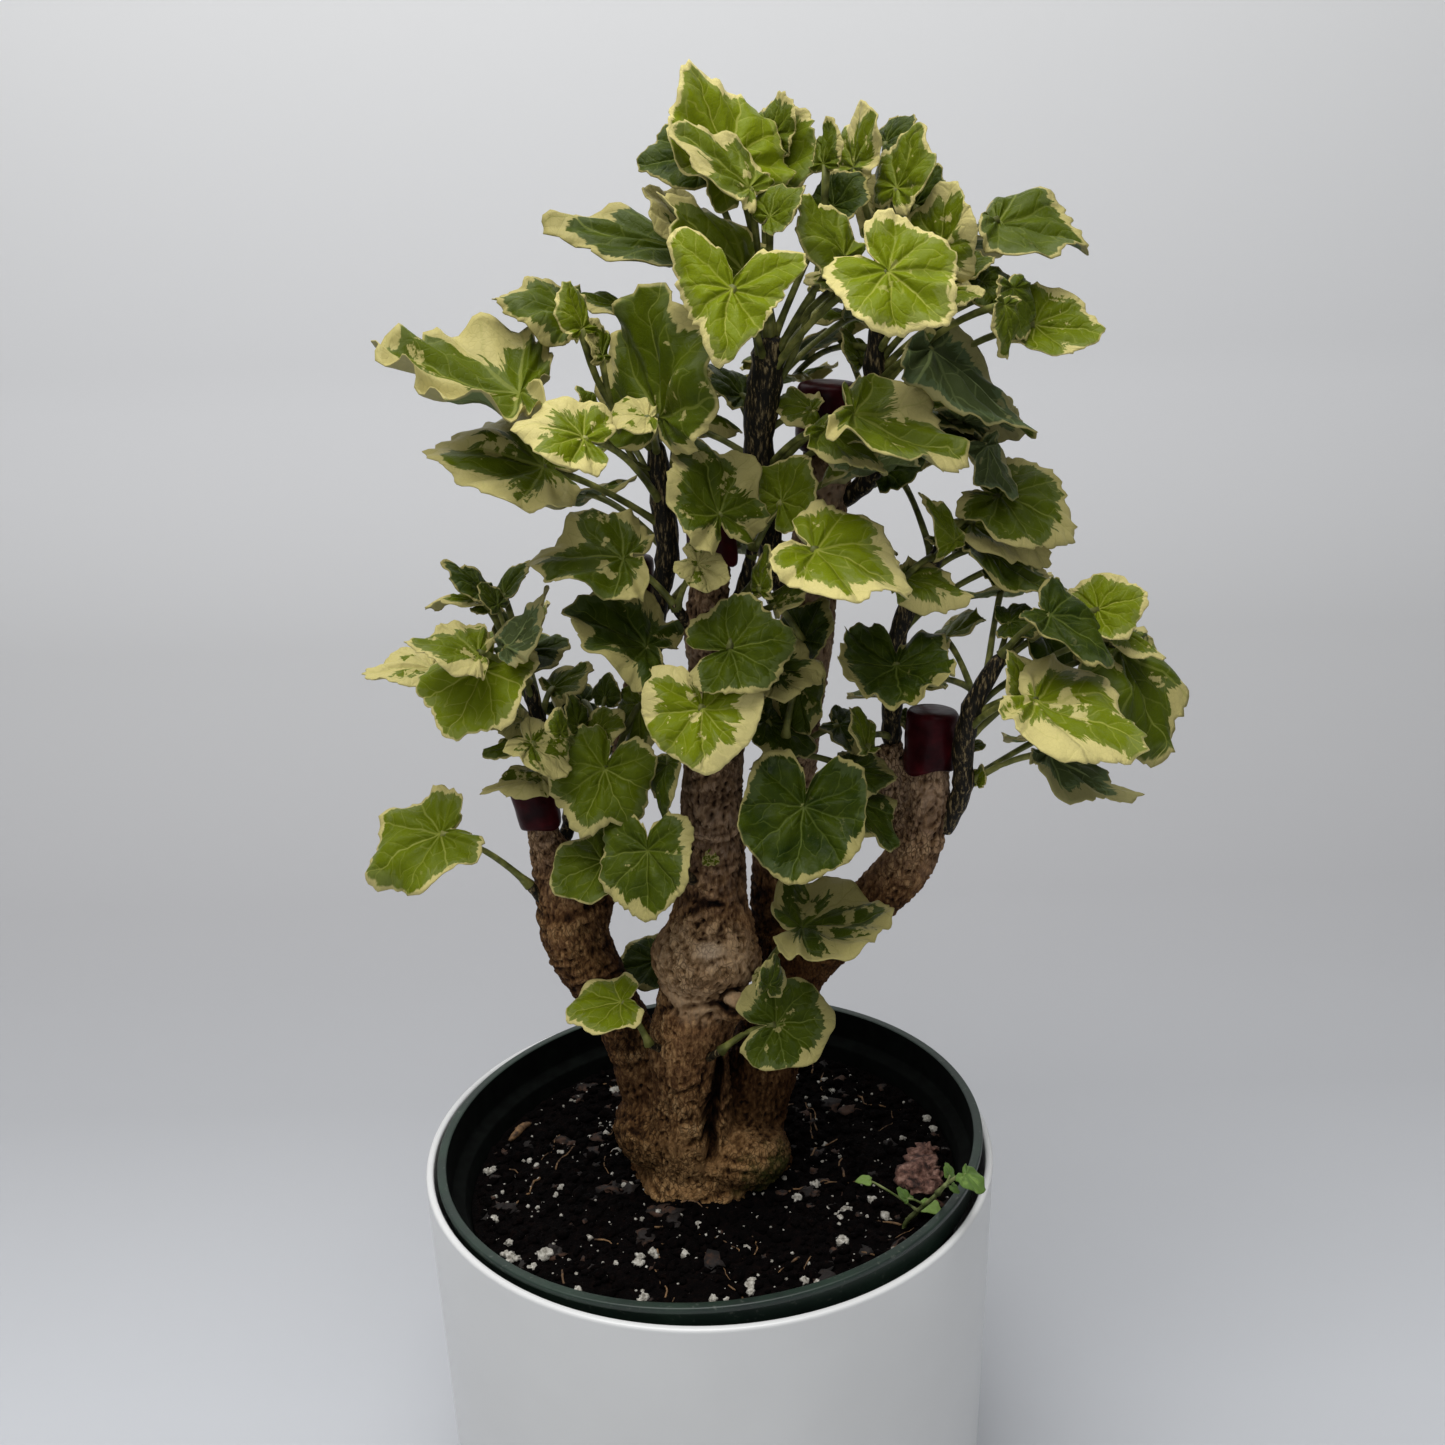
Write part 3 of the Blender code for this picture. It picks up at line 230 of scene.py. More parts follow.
def soil_height(x, y):
    """Height of the soil along the pot, at a place across it."""
    share = math.hypot(x, y) / SOIL_R
    bumps = math.sin(0.13 * x + 1.0) * math.cos(0.11 * y) + 0.6 * math.sin(0.21 * x - 0.17 * y)
    rough = noise.fractal((x * 0.16, y * 0.16, 3.0), 0.9, 2.1, 5) * 0.9
    fine = noise.fractal((x * 0.9, y * 0.9, 9.0), 0.8, 2.1, 3) * 0.45
    level = SOIL_TOP + 1.1 * (1 - share) + 0.66 * bumps * min(1, (1 - share) * 6)
    return level + rough + fine - 0.3


def in_foot(x, y, more=0.0):
    """Whether a place across the pot is under the trunk's foot."""
    across = Vector((x, y)) - FOOT_CENTRE
    return math.hypot(across.x / (FOOT_RX + more), across.y / (FOOT_RY + more)) < 1


# Wet peat: near-black brown clods without shine, gritty at the size of a crumb
peat, tree, shader, place = new_material("peat")
clods = add(tree, "TexNoise", place, Scale=per(50 / 21), Detail=8.0, Roughness=0.7)
tint = add(tree, "ValToRGB", clods, stops=[(0.34, "#020101"), (0.52, "#060303"), (0.66, "#100806"),
                                           (0.84, "#26150D")])
grit = add(tree, "TexVoronoi", place, Scale=per(10 / 9))
height = add(tree, "Math", grit, 0.6, clods, operation="MULTIPLY_ADD")
bump = add(tree, "Bump", Strength=1.0, Distance=0.8 * MM, Height=height)
feed(tree, shader, {"Base Color": tint, "Roughness": 0.95, "Normal": bump,
                    "Specular IOR Level": 0.06})

verts = [Vector((0, 0, soil_height(0, 0)))]
rings = [(SOIL_R * ring / SOIL_RINGS, None) for ring in range(1, SOIL_RINGS + 1)]
rings += [(SOIL_R - 1.5, SOIL_TOP - SOIL_DEPTH), (SOIL_R * 0.5, SOIL_TOP - SOIL_DEPTH)]
for reach, height in rings:
    for i in range(SOIL_SIDES):
        turn = 2 * math.pi * i / SOIL_SIDES
        x, y = reach * math.cos(turn), reach * math.sin(turn)
        verts.append(Vector((x, y, soil_height(x, y) if height is None else height)))
verts.append(Vector((0, 0, SOIL_TOP - SOIL_DEPTH)))
faces = []
for i in range(SOIL_SIDES):
    j = (i + 1) % SOIL_SIDES
    faces.append((0, 1 + i, 1 + j))
    for ring in range(len(rings) - 1):
        low, high = 1 + ring * SOIL_SIDES, 1 + (ring + 1) * SOIL_SIDES
        faces.append((low + i, high + i, high + j, low + j))
    faces.append((high + i, len(verts) - 1, high + j))
soil = mesh_object("soil_surface", [POT_AXES @ v for v in verts], faces, [peat])
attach(soil, "root")
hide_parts("potting_soil")


def lump(draw, detail, size, flat, ragged):
    """A ragged lump about the origin: an icosphere pushed about by noise."""
    shape = bmesh.new()
    bmesh.ops.create_icosphere(shape, subdivisions=detail, radius=1)
    spun = draw.uniform(0, 6.28)
    about = Vector((draw.gauss(0, 1), draw.gauss(0, 1), draw.gauss(0, 1))).normalized()
    spin = Matrix.Rotation(spun, 3, about)
    shift = Vector((draw.uniform(0, 99), draw.uniform(0, 99), draw.uniform(0, 99)))
    points = []
    for vert in shape.verts:
        point = spin @ (vert.co * (1 + ragged * noise.noise(vert.co * 1.7 + shift)))
        points.append(Vector((point.x * size, point.y * size, point.z * size * flat)))
    corners = [tuple(v.index for v in face.verts) for face in shape.faces]
    shape.free()
    return points, corners


def join(verts, faces, form, place=Vector((0, 0, 0))):
    """Puts one more form's points and faces, moved to a place, with those of a piece."""
    points, corners = form
    faces += [tuple(len(verts) + v for v in corner) for corner in corners]
    verts += [place + point for point in points]


def scatter(name, count, sizes, detail, flat, ragged, sunk, material, seed):
    """Lumps strewn over the soil, each sunk by a share of its size."""
    draw = random.Random(seed)
    verts, faces = [], []
    while count:
        reach, turn = (SOIL_R - 1.5) * math.sqrt(draw.random()), draw.uniform(0, 2 * math.pi)
        x, y = reach * math.cos(turn), reach * math.sin(turn)
        if in_foot(x, y, -1.5):
            continue
        size = sizes[0] * (sizes[1] / sizes[0]) ** (draw.random() ** 1.7)
        if math.hypot(x, y) + size > SOIL_R - 0.4:
            continue
        at = Vector((x, y, soil_height(x, y) + size * flat * sunk))
        join(verts, faces, lump(draw, detail, size, flat, ragged), at)
        count -= 1
    thing = mesh_object(name, [POT_AXES @ v for v in verts], faces, [material])
    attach(thing, "root")


scatter("soil_crumbs", 2600, (0.5, 2.3), 1, 0.75, 0.9, 0.25, peat, 3)

# Perlite: white puffed grains, chalky and full of small holes.
perlite, tree, shader, place = new_material("perlite")
pores = add(tree, "TexNoise", place, Scale=per(10 / 9), Detail=4.0)
tint = add(tree, "ValToRGB", pores, stops=[(0.3, "#69645A"), (0.5, "#A9A499"), (0.7, "#D2CEC4")])
bump = add(tree, "Bump", Strength=0.7, Distance=0.5 * MM, Height=pores)
feed(tree, shader, {"Base Color": tint, "Roughness": 0.85, "Normal": bump})
scatter("perlite_specks", 520, (0.18, 0.75), 1, 0.8, 0.6, 0.2, perlite, 11)
scatter("perlite_grains", 95, (0.5, 1.7), 2, 0.85, 0.6, 0.1, perlite, 12)

# The larger grains, where they show: (x, y) on the soil, size, and how many lie together
LARGE_GRAINS = [
    (-71, 7, 1.7, 4), (-65, -19, 1.5, 3), (-58, -36, 1.7, 4), (-59, -30, 1.3, 2),
    (-48, -36, 2.5, 1), (-51, -42, 1.6, 1), (-37, -53, 1.2, 2), (-21, -43, 1.9, 2),
    (-17, -40, 1.4, 1), (-19, -56, 1.4, 2), (-27, -6, 1.2, 1), (-16, -22, 1.1, 1),
    (-4, -28, 1.3, 1), (0, -60, 1.4, 2), (10, -56, 1.9, 5), (25, -19, 1.6, 1),
    (31, -12, 1.6, 1), (33, -24, 1.2, 1), (39, -26, 1.6, 3), (36, -40, 1.5, 5),
    (25, -54, 1.4, 1), (47, -22, 1.5, 1), (70, 14, 1.6, 1), (69, 20, 1.6, 1), (60, 10, 1.1, 1),
]
draw = random.Random(13)
verts, faces = [], []
for x, y, size, together in LARGE_GRAINS:
    for k in range(together):
        grain = 0.85 * size * (1 if k == 0 else draw.uniform(0.5, 0.9))
        turn, away = draw.uniform(0, 2 * math.pi), (0 if k == 0 else size * draw.uniform(0.9, 1.5))
        near_x, near_y = x + away * math.cos(turn), y + away * math.sin(turn)
        if math.hypot(near_x, near_y) + grain > SOIL_R - 0.4:
            continue
        at = Vector((near_x, near_y, soil_height(near_x, near_y) + grain * 0.35))
        join(verts, faces, lump(draw, 3, grain, 0.85, 0.7), at)
clumps = mesh_object("perlite_clumps", [POT_AXES @ v for v in verts], faces, [perlite])
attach(clumps, "root")

# Bark chips: tan and brown pieces of bark and wood in the soil, flat, torn, fibrous and dull.
chip_bark, tree, shader, place = new_material("chip_bark")
fibre = add(tree, "TexNoise", place, Scale=per(20 / 7), Detail=6.0, Roughness=0.65)
wide = add(tree, "TexNoise", place, Scale=per(100 / 9), Detail=1.0)
both = add(tree, "Math", wide, 0.8, fibre, operation="MULTIPLY_ADD")
tint = add(tree, "ValToRGB", both, stops=[(0.55, "#070403"), (0.9, "#190E08"), (1.15, "#3E2514")])
bump = add(tree, "Bump", Strength=0.8, Distance=0.5 * MM, Height=fibre)
feed(tree, shader, {"Base Color": tint, "Roughness": 0.8, "Normal": bump})
scatter("bark_chips", 150, (0.9, 3.3), 2, 0.4, 1.5, 0.15, chip_bark, 21)

# Root threads and strips: thin tan roots and one torn strip of bark that lie on the soil, dry and
# dull, in streaks of dark and pale.
THREAD_COUNT = 46
THREAD_STEP = 1.7
root_skin, tree, shader, place = new_material("root_skin")
fibre = add(tree, "TexNoise", place, Scale=per(2), Detail=3.0)
tint = add(tree, "ValToRGB", fibre, stops=[(0.35, "#3A2717"), (0.65, "#8C6A45")])
feed(tree, shader, {"Base Color": tint, "Roughness": 0.75})


def steady_axes(direction):
    """Two axes square to a direction, steady along an upright run."""
    guide = Vector((1, 0, 0)) if abs(direction.x) < 0.8 else Vector((0, 1, 0))
    first = (guide - direction * guide.dot(direction)).normalized()
    return first, direction.cross(first)


def band(low, high, sides):
    """The faces between two rings, each given by the number of its first point."""
    turns = [(i, (i + 1) % sides) for i in range(sides)]
    return [(low + i, low + j, high + j, high + i) for i, j in turns]


def tube(points, radii, sides):
    """A closed tube through the points, with a flat end at both."""
    points = [Vector(p) for p in points]
    verts, faces = [], []
    for k, point in enumerate(points):
        before, after = points[max(k - 1, 0)], points[min(k + 1, len(points) - 1)]
        if k == len(points) - 2 and len(points) > 3:
            before = point
        first, second = steady_axes((after - before).normalized())
        for i in range(sides):
            turn = 2 * math.pi * i / sides
            verts.append(point + (first * math.cos(turn) + second * math.sin(turn)) * radii[k])
    for k in range(len(points) - 1):
        faces += band(k * sides, (k + 1) * sides, sides)
    faces.append(tuple(reversed(range(sides))))
    faces.append(tuple(range(len(verts) - sides, len(verts))))
    return verts, faces


draw = random.Random(5)
verts, faces = [], []
for k in range(THREAD_COUNT):
    turn, reach = draw.uniform(0, 2 * math.pi), SOIL_R * math.sqrt(draw.uniform(0.12, 0.86))
    x, y, heading = reach * math.cos(turn), reach * math.sin(turn), draw.uniform(0, 2 * math.pi)
    run = []
    for step in range(draw.randint(6, 13)):
        heading += draw.gauss(0, 0.35)
        x, y = x + THREAD_STEP * math.cos(heading), y + THREAD_STEP * math.sin(heading)
        if math.hypot(x, y) > SOIL_R - 2 or in_foot(x, y):
            break
        run.append((x, y, soil_height(x, y) + 0.25 + 0.5 * math.sin(step * 1.1)))
    if len(run) < 3:
        continue
    thick = draw.uniform(0.16, 0.42)
    join(verts, faces, tube(run, [thick * (1 - 0.5 * i / len(run)) for i in range(len(run))], 6))
strip = [(k - 66, 22 + 1.6 * k, soil_height(k - 66, 22 + 1.6 * k) + 0.9) for k in range(7)]
join(verts, faces, tube(strip, [0.5, 1.1, 1.3, 1.4, 1.2, 1.0, 0.4], 6))
threads = mesh_object("root_threads", [POT_AXES @ v for v in verts], faces, [root_skin])
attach(threads, "root")

# The crumpled chip of bark at the front right, with the pink-grey stub of a root on its end. It is
# dry and fibrous, and paler than the wet peat round it.
CRUMPLED_LUMPS = [(60.5, -12.5, 5.2, 0.5), (64.0, -8.5, 4.6, 0.6), (61.8, -16.0, 3.9, 0.55),
                  (66.2, -13.2, 3.4, 0.6), (63.8, -3.0, 3.6, 0.7), (66.6, 0.5, 2.6, 0.8)]
draw = random.Random(8)
verts, faces = [], []
for x, y, size, flat in CRUMPLED_LUMPS:
    join(verts, faces, lump(draw, 3, size, flat, 1.2), Vector((x, y, soil_height(x, y) + 1.6)))
torn_bark, tree, shader, place = new_material("torn_bark")
fibre = add(tree, "TexNoise", place, Scale=per(50 / 21), Detail=5.0, Roughness=0.65)
tint = add(tree, "ValToRGB", fibre, stops=[(0.36, "#2A1813"), (0.5, "#6A473A"), (0.66, "#A07C6C")])
bump = add(tree, "Bump", Strength=1.0, Distance=0.7 * MM, Height=fibre)
feed(tree, shader, {"Base Color": tint, "Roughness": 0.8, "Normal": bump})
crumpled = mesh_object("crumpled_chip", [POT_AXES @ v for v in verts], faces, [torn_bark])
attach(crumpled, "root")

# Trunk: several canes grown together at a swollen foot, each pruned at its top. The bark is tan and
# finely cracked along the cane, ringed by old leaf scars, with a burl half way up the front.
# A cane is a run of (x, y, z, radius), and a knob is a centre, half sizes and a turn in degrees.
CANES = {
    "centre": [(-6, 0, 112, 14), (-6, -3, 128, 14.5), (-5, -5, 145, 12.3), (-5, -6, 159, 11.9),
               (-1, -6, 173, 12.4), (2, -6, 190, 12.4), (3, -6, 204, 10.4), (4, -5, 218, 9.4),
               (4, -5, 234, 9.0), (6, -5, 263, 7.2), (4, -5, 285, 6.4), (6, -5, 299, 5.2),
               (6, -5, 313, 5.2)],
    "back": [(10, 4, 112, 12), (13, 7, 130, 11.8), (20, 10, 152, 11.2), (25, 12, 170, 10.6),
             (23, 17, 193, 9.0), (27, 21, 236, 8.2), (32, 22, 272, 8.0), (38, 20, 318, 7.1),
             (39, 18, 344, 7.1)],
    "right": [(25, 12, 166, 8.5), (32, 11, 178, 9.3), (48, 8, 193, 7.8), (61, 6, 209, 7.4),
              (66, 5, 226, 6.6), (66, 5, 236, 5.9), (67, 5, 254, 5.9)],
    "right_stub": [(60, 7, 211, 5.5), (58, 10, 228, 5.2), (55, 13, 243, 4.6)],
    "left": [(-6, 1, 118, 12), (-16, 2, 135, 9.6), (-25, 3, 161, 8.0), (-36, 3, 184, 9.8),
             (-39, 3, 199, 9.8), (-42, 4, 211, 7.6), (-45, 4, 222, 4.7), (-48, 4, 237, 4.7)],
    "left_back": [(-36, 4, 193, 8.5), (-30, 8, 207, 6.6), (-22, 14, 233, 5.7),
                  (-16, 16, 257, 5.4), (-16, 16, 281, 4.8), (-17, 16, 298, 4.8)],
}
KNOBS = [
    ((1, -7, 187), (15.0, 13.6, 12.5), 0),
    ((9, -17, 175), (5.0, 3.4, 4.4), 30),
    ((-14, 0, 127), (15.5, 14.0, 13.5), 20),
    ((9, -4, 120), (16.0, 14.5, 10.5), -15),
]
BARK_SIDES = 28
FOOT_ROWS = [(84, 0.94), (86, 1.0), (110, 1.0), (113, 0.96), (116, 0.88), (119, 0.78),
             (122.5, 0.66)]  # z, and the share of the foot's size there
FOOT_SIDES = 48
FUSE_VOXEL = 0.85
KNOT = Vector((2.5, -20.0, 200.0))
BURL_FACE = Vector((0.0, -17.0, 187.0))
BURL_BROW = Vector((2.0, -21.0, 194.5))
BURL_Z = 189.0
PRUNED_TWIG = Vector((8.8, -19.0, 178.0))
MOSS_SPOT = Vector((20.5, -15.0, 114.0))
SCAR_STEP = 12.5  # from one ring scar to the next
SCARS_FADE_Z = 215
FRONT_Y = -2  # the burl and its folds lie in front of this, and left of the next
FRONT_X = 17
RING_CREASES = [(177.0, 1.3, 1.3), (207.5, 0.9, 1.4)]  # z, depth and half width of the burl's folds
CREASE = [(6.0, 167.0, 0.4), (4.6, 158.0, 0.9), (2.9, 149.0, 1.5), (1.3, 139.0, 2.1),
          (0.4, 130.0, 2.1), (0.2, 121.0, 0.9)]  # x, z and half width of the gap between two canes
CREASE_DEPTH = 7.0
CREASE_SHADE = 0.14  # how much of the gap's depth darkens its bark


def smooth_run(points, steps):
    """More points on a smooth curve through the given ones, with their radii."""
    run = []
    for k in range(len(points) - 1):
        a, b = points[max(k - 1, 0)], points[k]
        c, d = points[k + 1], points[min(k + 2, len(points) - 1)]
        for step in range(steps):
            t = step / steps
            run.append(tuple(0.5 * (2 * b[i] + (c[i] - a[i]) * t
                                    + (2 * a[i] - 5 * b[i] + 4 * c[i] - d[i]) * t * t
                                    + (3 * b[i] - a[i] - 3 * c[i] + d[i]) * t ** 3)
                             for i in range(len(b))))
    run.append(tuple(points[-1]))
    return run


def ball(centre, radii, turn, sides=10, rows=6):
    """An egg-shaped lump."""
    spin = Matrix.Rotation(math.radians(turn), 3, "Z")
    verts = [Vector((0, 0, -1))]
    for k in range(1, rows):
        up = math.pi * k / rows - math.pi / 2
        for i in range(sides):
            around = 2 * math.pi * (i + 0.5 * (k % 2)) / sides
            verts.append(Vector((math.cos(up) * math.cos(around), math.cos(up) * math.sin(around),
                                 math.sin(up))))
    verts.append(Vector((0, 0, 1)))
    top = len(verts) - 1
    faces = []
    for i in range(sides):
        j = (i + 1) % sides
        faces.append((0, 1 + j, 1 + i))
        faces.append((top, top - sides + i, top - sides + j))
    for k in range(rows - 2):
        faces += band(1 + k * sides, 1 + (k + 1) * sides, sides)
    size = Vector(radii)
    placed = [Vector((v.x * size.x, v.y * size.y, v.z * size.z)) for v in verts]
    return [Vector(centre) + spin @ v for v in placed], faces


def hump(away, width, power=2):
    """1 at a place, and towards 0 farther away from it than this width."""
    return math.exp(-(away / width) ** power)


def within(share):
    """A share kept between 0 and 1."""
    return max(0.0, min(1.0, share))


def crease_depth(point):
    """How deep the gap between the middle cane and the one behind it is, at a place in front."""
    if point.y > 4:
        return 0
    for (x1, z1, w1), (x2, z2, w2) in zip(CREASE, CREASE[1:]):
        if z2 <= point.z <= z1:
            share = (z1 - point.z) / (z1 - z2)
            middle = x1 + (x2 - x1) * share + 1.3 * noise.noise(point * 0.13)
            half = (w1 + (w2 - w1) * share) * (1 + 0.35 * noise.noise(point * 0.3))
            ends = min(1, (CREASE[0][1] - point.z) / 14, (point.z - CREASE[-1][1]) / 5)
            return CREASE_DEPTH * ends * hump(abs(point.x - middle), half, 3)
    return 0


def burl_swell(point):
    """How far the burl is swollen beyond the cane, at a place on its front."""
    if point.y > FRONT_Y or point.x > FRONT_X:
        return 0
    return 1.3 * min(1.0, (FRONT_Y - point.y) / 6) * hump(point.z - BURL_Z, 10.5, 4)


def bark_height(point, heading):
    """How far the bark stands out at a place, in millimetres: plates and cracks, lumps, ring scars
    of old leaves, pits, and the wrinkled scars of the burl."""
    along = point.dot(heading)
    across = point - heading * along
    height = noise.fractal(point * 0.05, 1.0, 2.0, 2) * 0.5
    warp = noise.noise_vector(point * 0.35) * 0.9
    near, _ = noise.voronoi((across * 0.42 + heading * along * 0.2) + warp)
    height += -0.5 * max(0.0, 1 - (near[1] - near[0]) / 0.16)
    grain = across * 0.34 + heading * (along * 0.10) + Vector((7, 3, 1))
    height += -0.75 * max(0.0, 1 - abs(noise.noise(grain)) / 0.07)
    level = along / SCAR_STEP + 0.6 * noise.noise(point * 0.05)
    away = abs(level - round(level)) * SCAR_STEP
    scar = 0.5 * hump(away, 0.8) - 0.55 * hump(away - 1.8, 0.6)
    scar *= within(0.45 + 1.8 * noise.noise(point * 0.12 + Vector((2, 9, 4))))
    height += scar * (1.0 if point.z < SCARS_FADE_Z else 0.7)
    height += noise.fractal(point * 0.75, 0.8, 2.1, 4) * 0.34
    if point.y < FRONT_Y and point.x < FRONT_X:
        front = min(1.0, (FRONT_Y - point.y) / 6) * (0.55 + noise.noise(point * 0.16))
        bent = point.z + 0.025 * (point.x - 2) ** 2 + 2.0 * noise.noise(point * 0.12)
        height -= front * sum(depth * hump(bent - z, half) for z, depth, half in RING_CREASES)
    away = point - KNOT
    reach = math.hypot(away.x * 0.75, away.y, away.z * (1.15 if away.z > 0 else 0.9))
    ripple = math.sin(1.3 * reach + 4.0 * noise.noise(point * 0.15)) * hump(reach, 12.0)
    height += 0.85 * ripple * within(reach / 3.0 - 0.5) * (0.6 + 0.8 * noise.noise(point * 0.21))
    height += 1.4 * hump(reach, 2.3)
    brow = point - BURL_BROW
    sag = brow.z + 0.05 * brow.x ** 2
    height += math.exp(-(brow.x / 6.5) ** 2 - (sag / 1.3) ** 2 - (brow.y / 6) ** 2)
    twig = (point - PRUNED_TWIG).length
    return height + (1.3 * hump(twig, 3.0, 4) - 0.8 * hump(twig - 3.9, 0.8))


# Dry grey-tan bark: dull, streaked along the cane and dark in its fine cracks, so that it looks
# old.
# Painted shade darkens every hollow of its relief and leaves the ridges pale. Its fine plates are
# drawn at 1.3 by 2.5 mm.
bark, tree, shader, place = new_material("bark")
relief = add(tree, "Attribute", attribute_name="relief").outputs["Fac"]
_, y, z = add(tree, "SeparateXYZ", place).outputs
stretch = add(tree, "Mapping", place, Scale=(per(10 / 7), per(10 / 7), per(50 / 13)))
grain = add(tree, "TexNoise", stretch, Scale=1.0, Detail=7.0, Roughness=0.7)
wide = add(tree, "TexNoise", place, Scale=per(125 / 6), Detail=4.0, Roughness=0.65)
tone = add(tree, "Math", grain, 0.6, operation="MULTIPLY")
tone = add(tree, "Math", wide, 0.42, tone, operation="MULTIPLY_ADD")
skin = add(tree, "ValToRGB", tone, stops=[(0.38, "#402B1A"), (0.47, "#7E5A3A"), (0.55, "#AD8558"),
                                          (0.68, "#D8B483")])
# Warm orange at the foot, greyer high up, a pale rounded burl with an ashen brow
warm = add(tree, "MapRange", z, 140 * MM, 126 * MM, 0.0, 0.45)
upper = add(tree, "MapRange", z, 200 * MM, 228 * MM, 0.0, 0.5)
from_burl = add(tree, "VectorMath", place, BURL_FACE * MM, operation="DISTANCE")
pale = add(tree, "MapRange", from_burl, 18 * MM, 12 * MM, 0.0, 0.55)
from_brow = add(tree, "VectorMath", place, BURL_BROW * MM, operation="DISTANCE")
ashen = add(tree, "MapRange", from_brow, 5.5 * MM, 2 * MM, 0.0, 0.6)
ashen = add(tree, "Math", ashen, grain, operation="MULTIPLY")
for share, code in ((warm, "#B08A5A"), (upper, "#C6AC93"), (pale, "#E4C298"), (ashen, "#D3C7B6")):
    skin = add(tree, "Mix", share, skin, code, data_type="RGBA")
# Painted shade: the bark is darker on the canes behind and low on the trunk, where the crown
# shades it, and darker still in every hollow of the relief
far = add(tree, "MapRange", y, -9 * MM, 1 * MM, 0.0, 1.0)
low = add(tree, "MapRange", z, 215 * MM, 180 * MM, 0.0, 1.0)
behind = add(tree, "Math", far, low, operation="MULTIPLY")
depth = add(tree, "MapRange", relief, -1.5, 0.6, 0.0, 1.0)
shadow = add(tree, "ValToRGB", depth, stops=[(0.0, "#0E0704"), (0.3, "#54463A"), (0.55, "#BDB4A9"),
                                             (0.78, "#FFFFFF")])
for share, shade in ((behind, "#A08D7A"), (1.0, shadow)):
    skin = add(tree, "Mix", share, skin, shade, data_type="RGBA", blend_type="MULTIPLY")
# Fine cracks between plates, and a few pits
bend = add(tree, "TexNoise", place, Scale=per(10 / 3), Detail=2.0).outputs["Color"]
shift = add(tree, "VectorMath", bend, operation="SCALE", Scale=2.2 * MM)
shifted = add(tree, "VectorMath", place, shift, operation="ADD")
plated = add(tree, "Mapping", shifted, Scale=(per(25 / 19), per(25 / 19), per(2.5)))
plates = add(tree, "TexVoronoi", plated, feature="DISTANCE_TO_EDGE", Scale=1.0)
split = add(tree, "MapRange", plates, 0.0, 0.13, 1.0, 0.0)
rough_here = add(tree, "MapRange", wide, 0.42, 0.58, 0.1, 0.7)
split = add(tree, "Math", split, rough_here, operation="MULTIPLY")
pores = add(tree, "TexVoronoi", place, Scale=per(10 / 3), Randomness=1.0)
pit = add(tree, "MapRange", pores, 0.12, 0.26, 0.8, 0.0)
few = add(tree, "MapRange", wide, 0.5, 0.6, 0.0, 1.0)
pit = add(tree, "Math", pit, few, operation="MULTIPLY")
# Moss low on the front right of the foot
near_moss = add(tree, "VectorMath", place, MOSS_SPOT * MM, operation="DISTANCE")
ragged = add(tree, "TexNoise", place, Scale=per(50 / 13), Detail=5.0)
moss = add(tree, "Math", ragged, -22 * MM, near_moss, operation="MULTIPLY_ADD")
moss = add(tree, "MapRange", moss, -4.5 * MM, 2.5 * MM, 0.85, 0.0)
for share, code in ((split, "#2A1A0F"), (pit, "#1A0F08"), (moss, "#333C13")):
    skin = add(tree, "Mix", share, skin, code, data_type="RGBA")
height = add(tree, "Math", split, -0.5, grain, operation="MULTIPLY_ADD")
bump = add(tree, "Bump", Strength=1.0, Distance=0.9 * MM, Height=height)
feed(tree, shader, {"Base Color": skin, "Roughness": 0.82, "Normal": bump,
                    "Specular IOR Level": 0.12})

verts, faces = [], []
for path in CANES.values():
    run = smooth_run(path, 4)
    join(verts, faces, tube([p[:3] for p in run], [p[3] for p in run], BARK_SIDES))
for centre, radii, turn in KNOBS:
    join(verts, faces, ball(centre, radii, turn, 24, 16))
foot_start = len(verts)
for height, scale in FOOT_ROWS:
    for i in range(FOOT_SIDES):
        turn = 2 * math.pi * i / FOOT_SIDES
        lobe = 1 + 0.05 * math.sin(3 * turn + 0.6) + 0.03 * math.sin(5 * turn)
        verts.append(Vector((FOOT_CENTRE.x + FOOT_RX * scale * lobe * math.cos(turn),
                             FOOT_CENTRE.y + FOOT_RY * scale * lobe * math.sin(turn), height)))
faces.append(tuple(reversed(range(foot_start, foot_start + FOOT_SIDES))))
for row in range(len(FOOT_ROWS) - 1):
    low = foot_start + row * FOOT_SIDES
    faces += band(low, low + FOOT_SIDES, FOOT_SIDES)
faces.append(tuple(range(len(verts) - FOOT_SIDES, len(verts))))
trunk = mesh_object("trunk_bark", verts, faces, [bark])
fuse = trunk.modifiers.new("fuse", "REMESH")
fuse.mode = "VOXEL"
fuse.voxel_size = FUSE_VOXEL * MM
soften = trunk.modifiers.new("soften", "SMOOTH")
soften.iterations = 4
bpy.context.view_layer.update()
fused = bpy.data.meshes.new_from_object(trunk.evaluated_get(bpy.context.evaluated_depsgraph_get()))
trunk.modifiers.clear()
trunk.data = fused
axis_points = []
for path in CANES.values():
    run = smooth_run(path, 3)
    for one, two in zip(run, run[1:]):
        low, high = Vector(one[:3]), Vector(two[:3])
        axis_points.append(((low + high) / 2, (high - low).normalized(), one[3]))
# The relief that the bark's colour reads is its height, lowered by a share of the gap's depth, so
# that the bark material paints shade into every hollow and into the gap between the canes.
reliefs, moved = [], []
for vert in fused.vertices:
    point = vert.co / MM
    heading = min(axis_points, key=lambda a: (a[0] - point).length - a[2])[1]
    height, sunk = bark_height(point, heading), crease_depth(point)
    reliefs.append(height - CREASE_SHADE * sunk)
    push = vert.normal * (height + burl_swell(point)) + Vector((0, sunk, 0))
    moved.append(vert.co + push * MM)
for vert, co in zip(fused.vertices, moved):
    vert.co = co
kept = fused.attributes.new("relief", "FLOAT", "POINT")
kept.data.foreach_set("value", reliefs)
fused.shade_smooth()
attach(trunk, "root")
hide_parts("trunk")

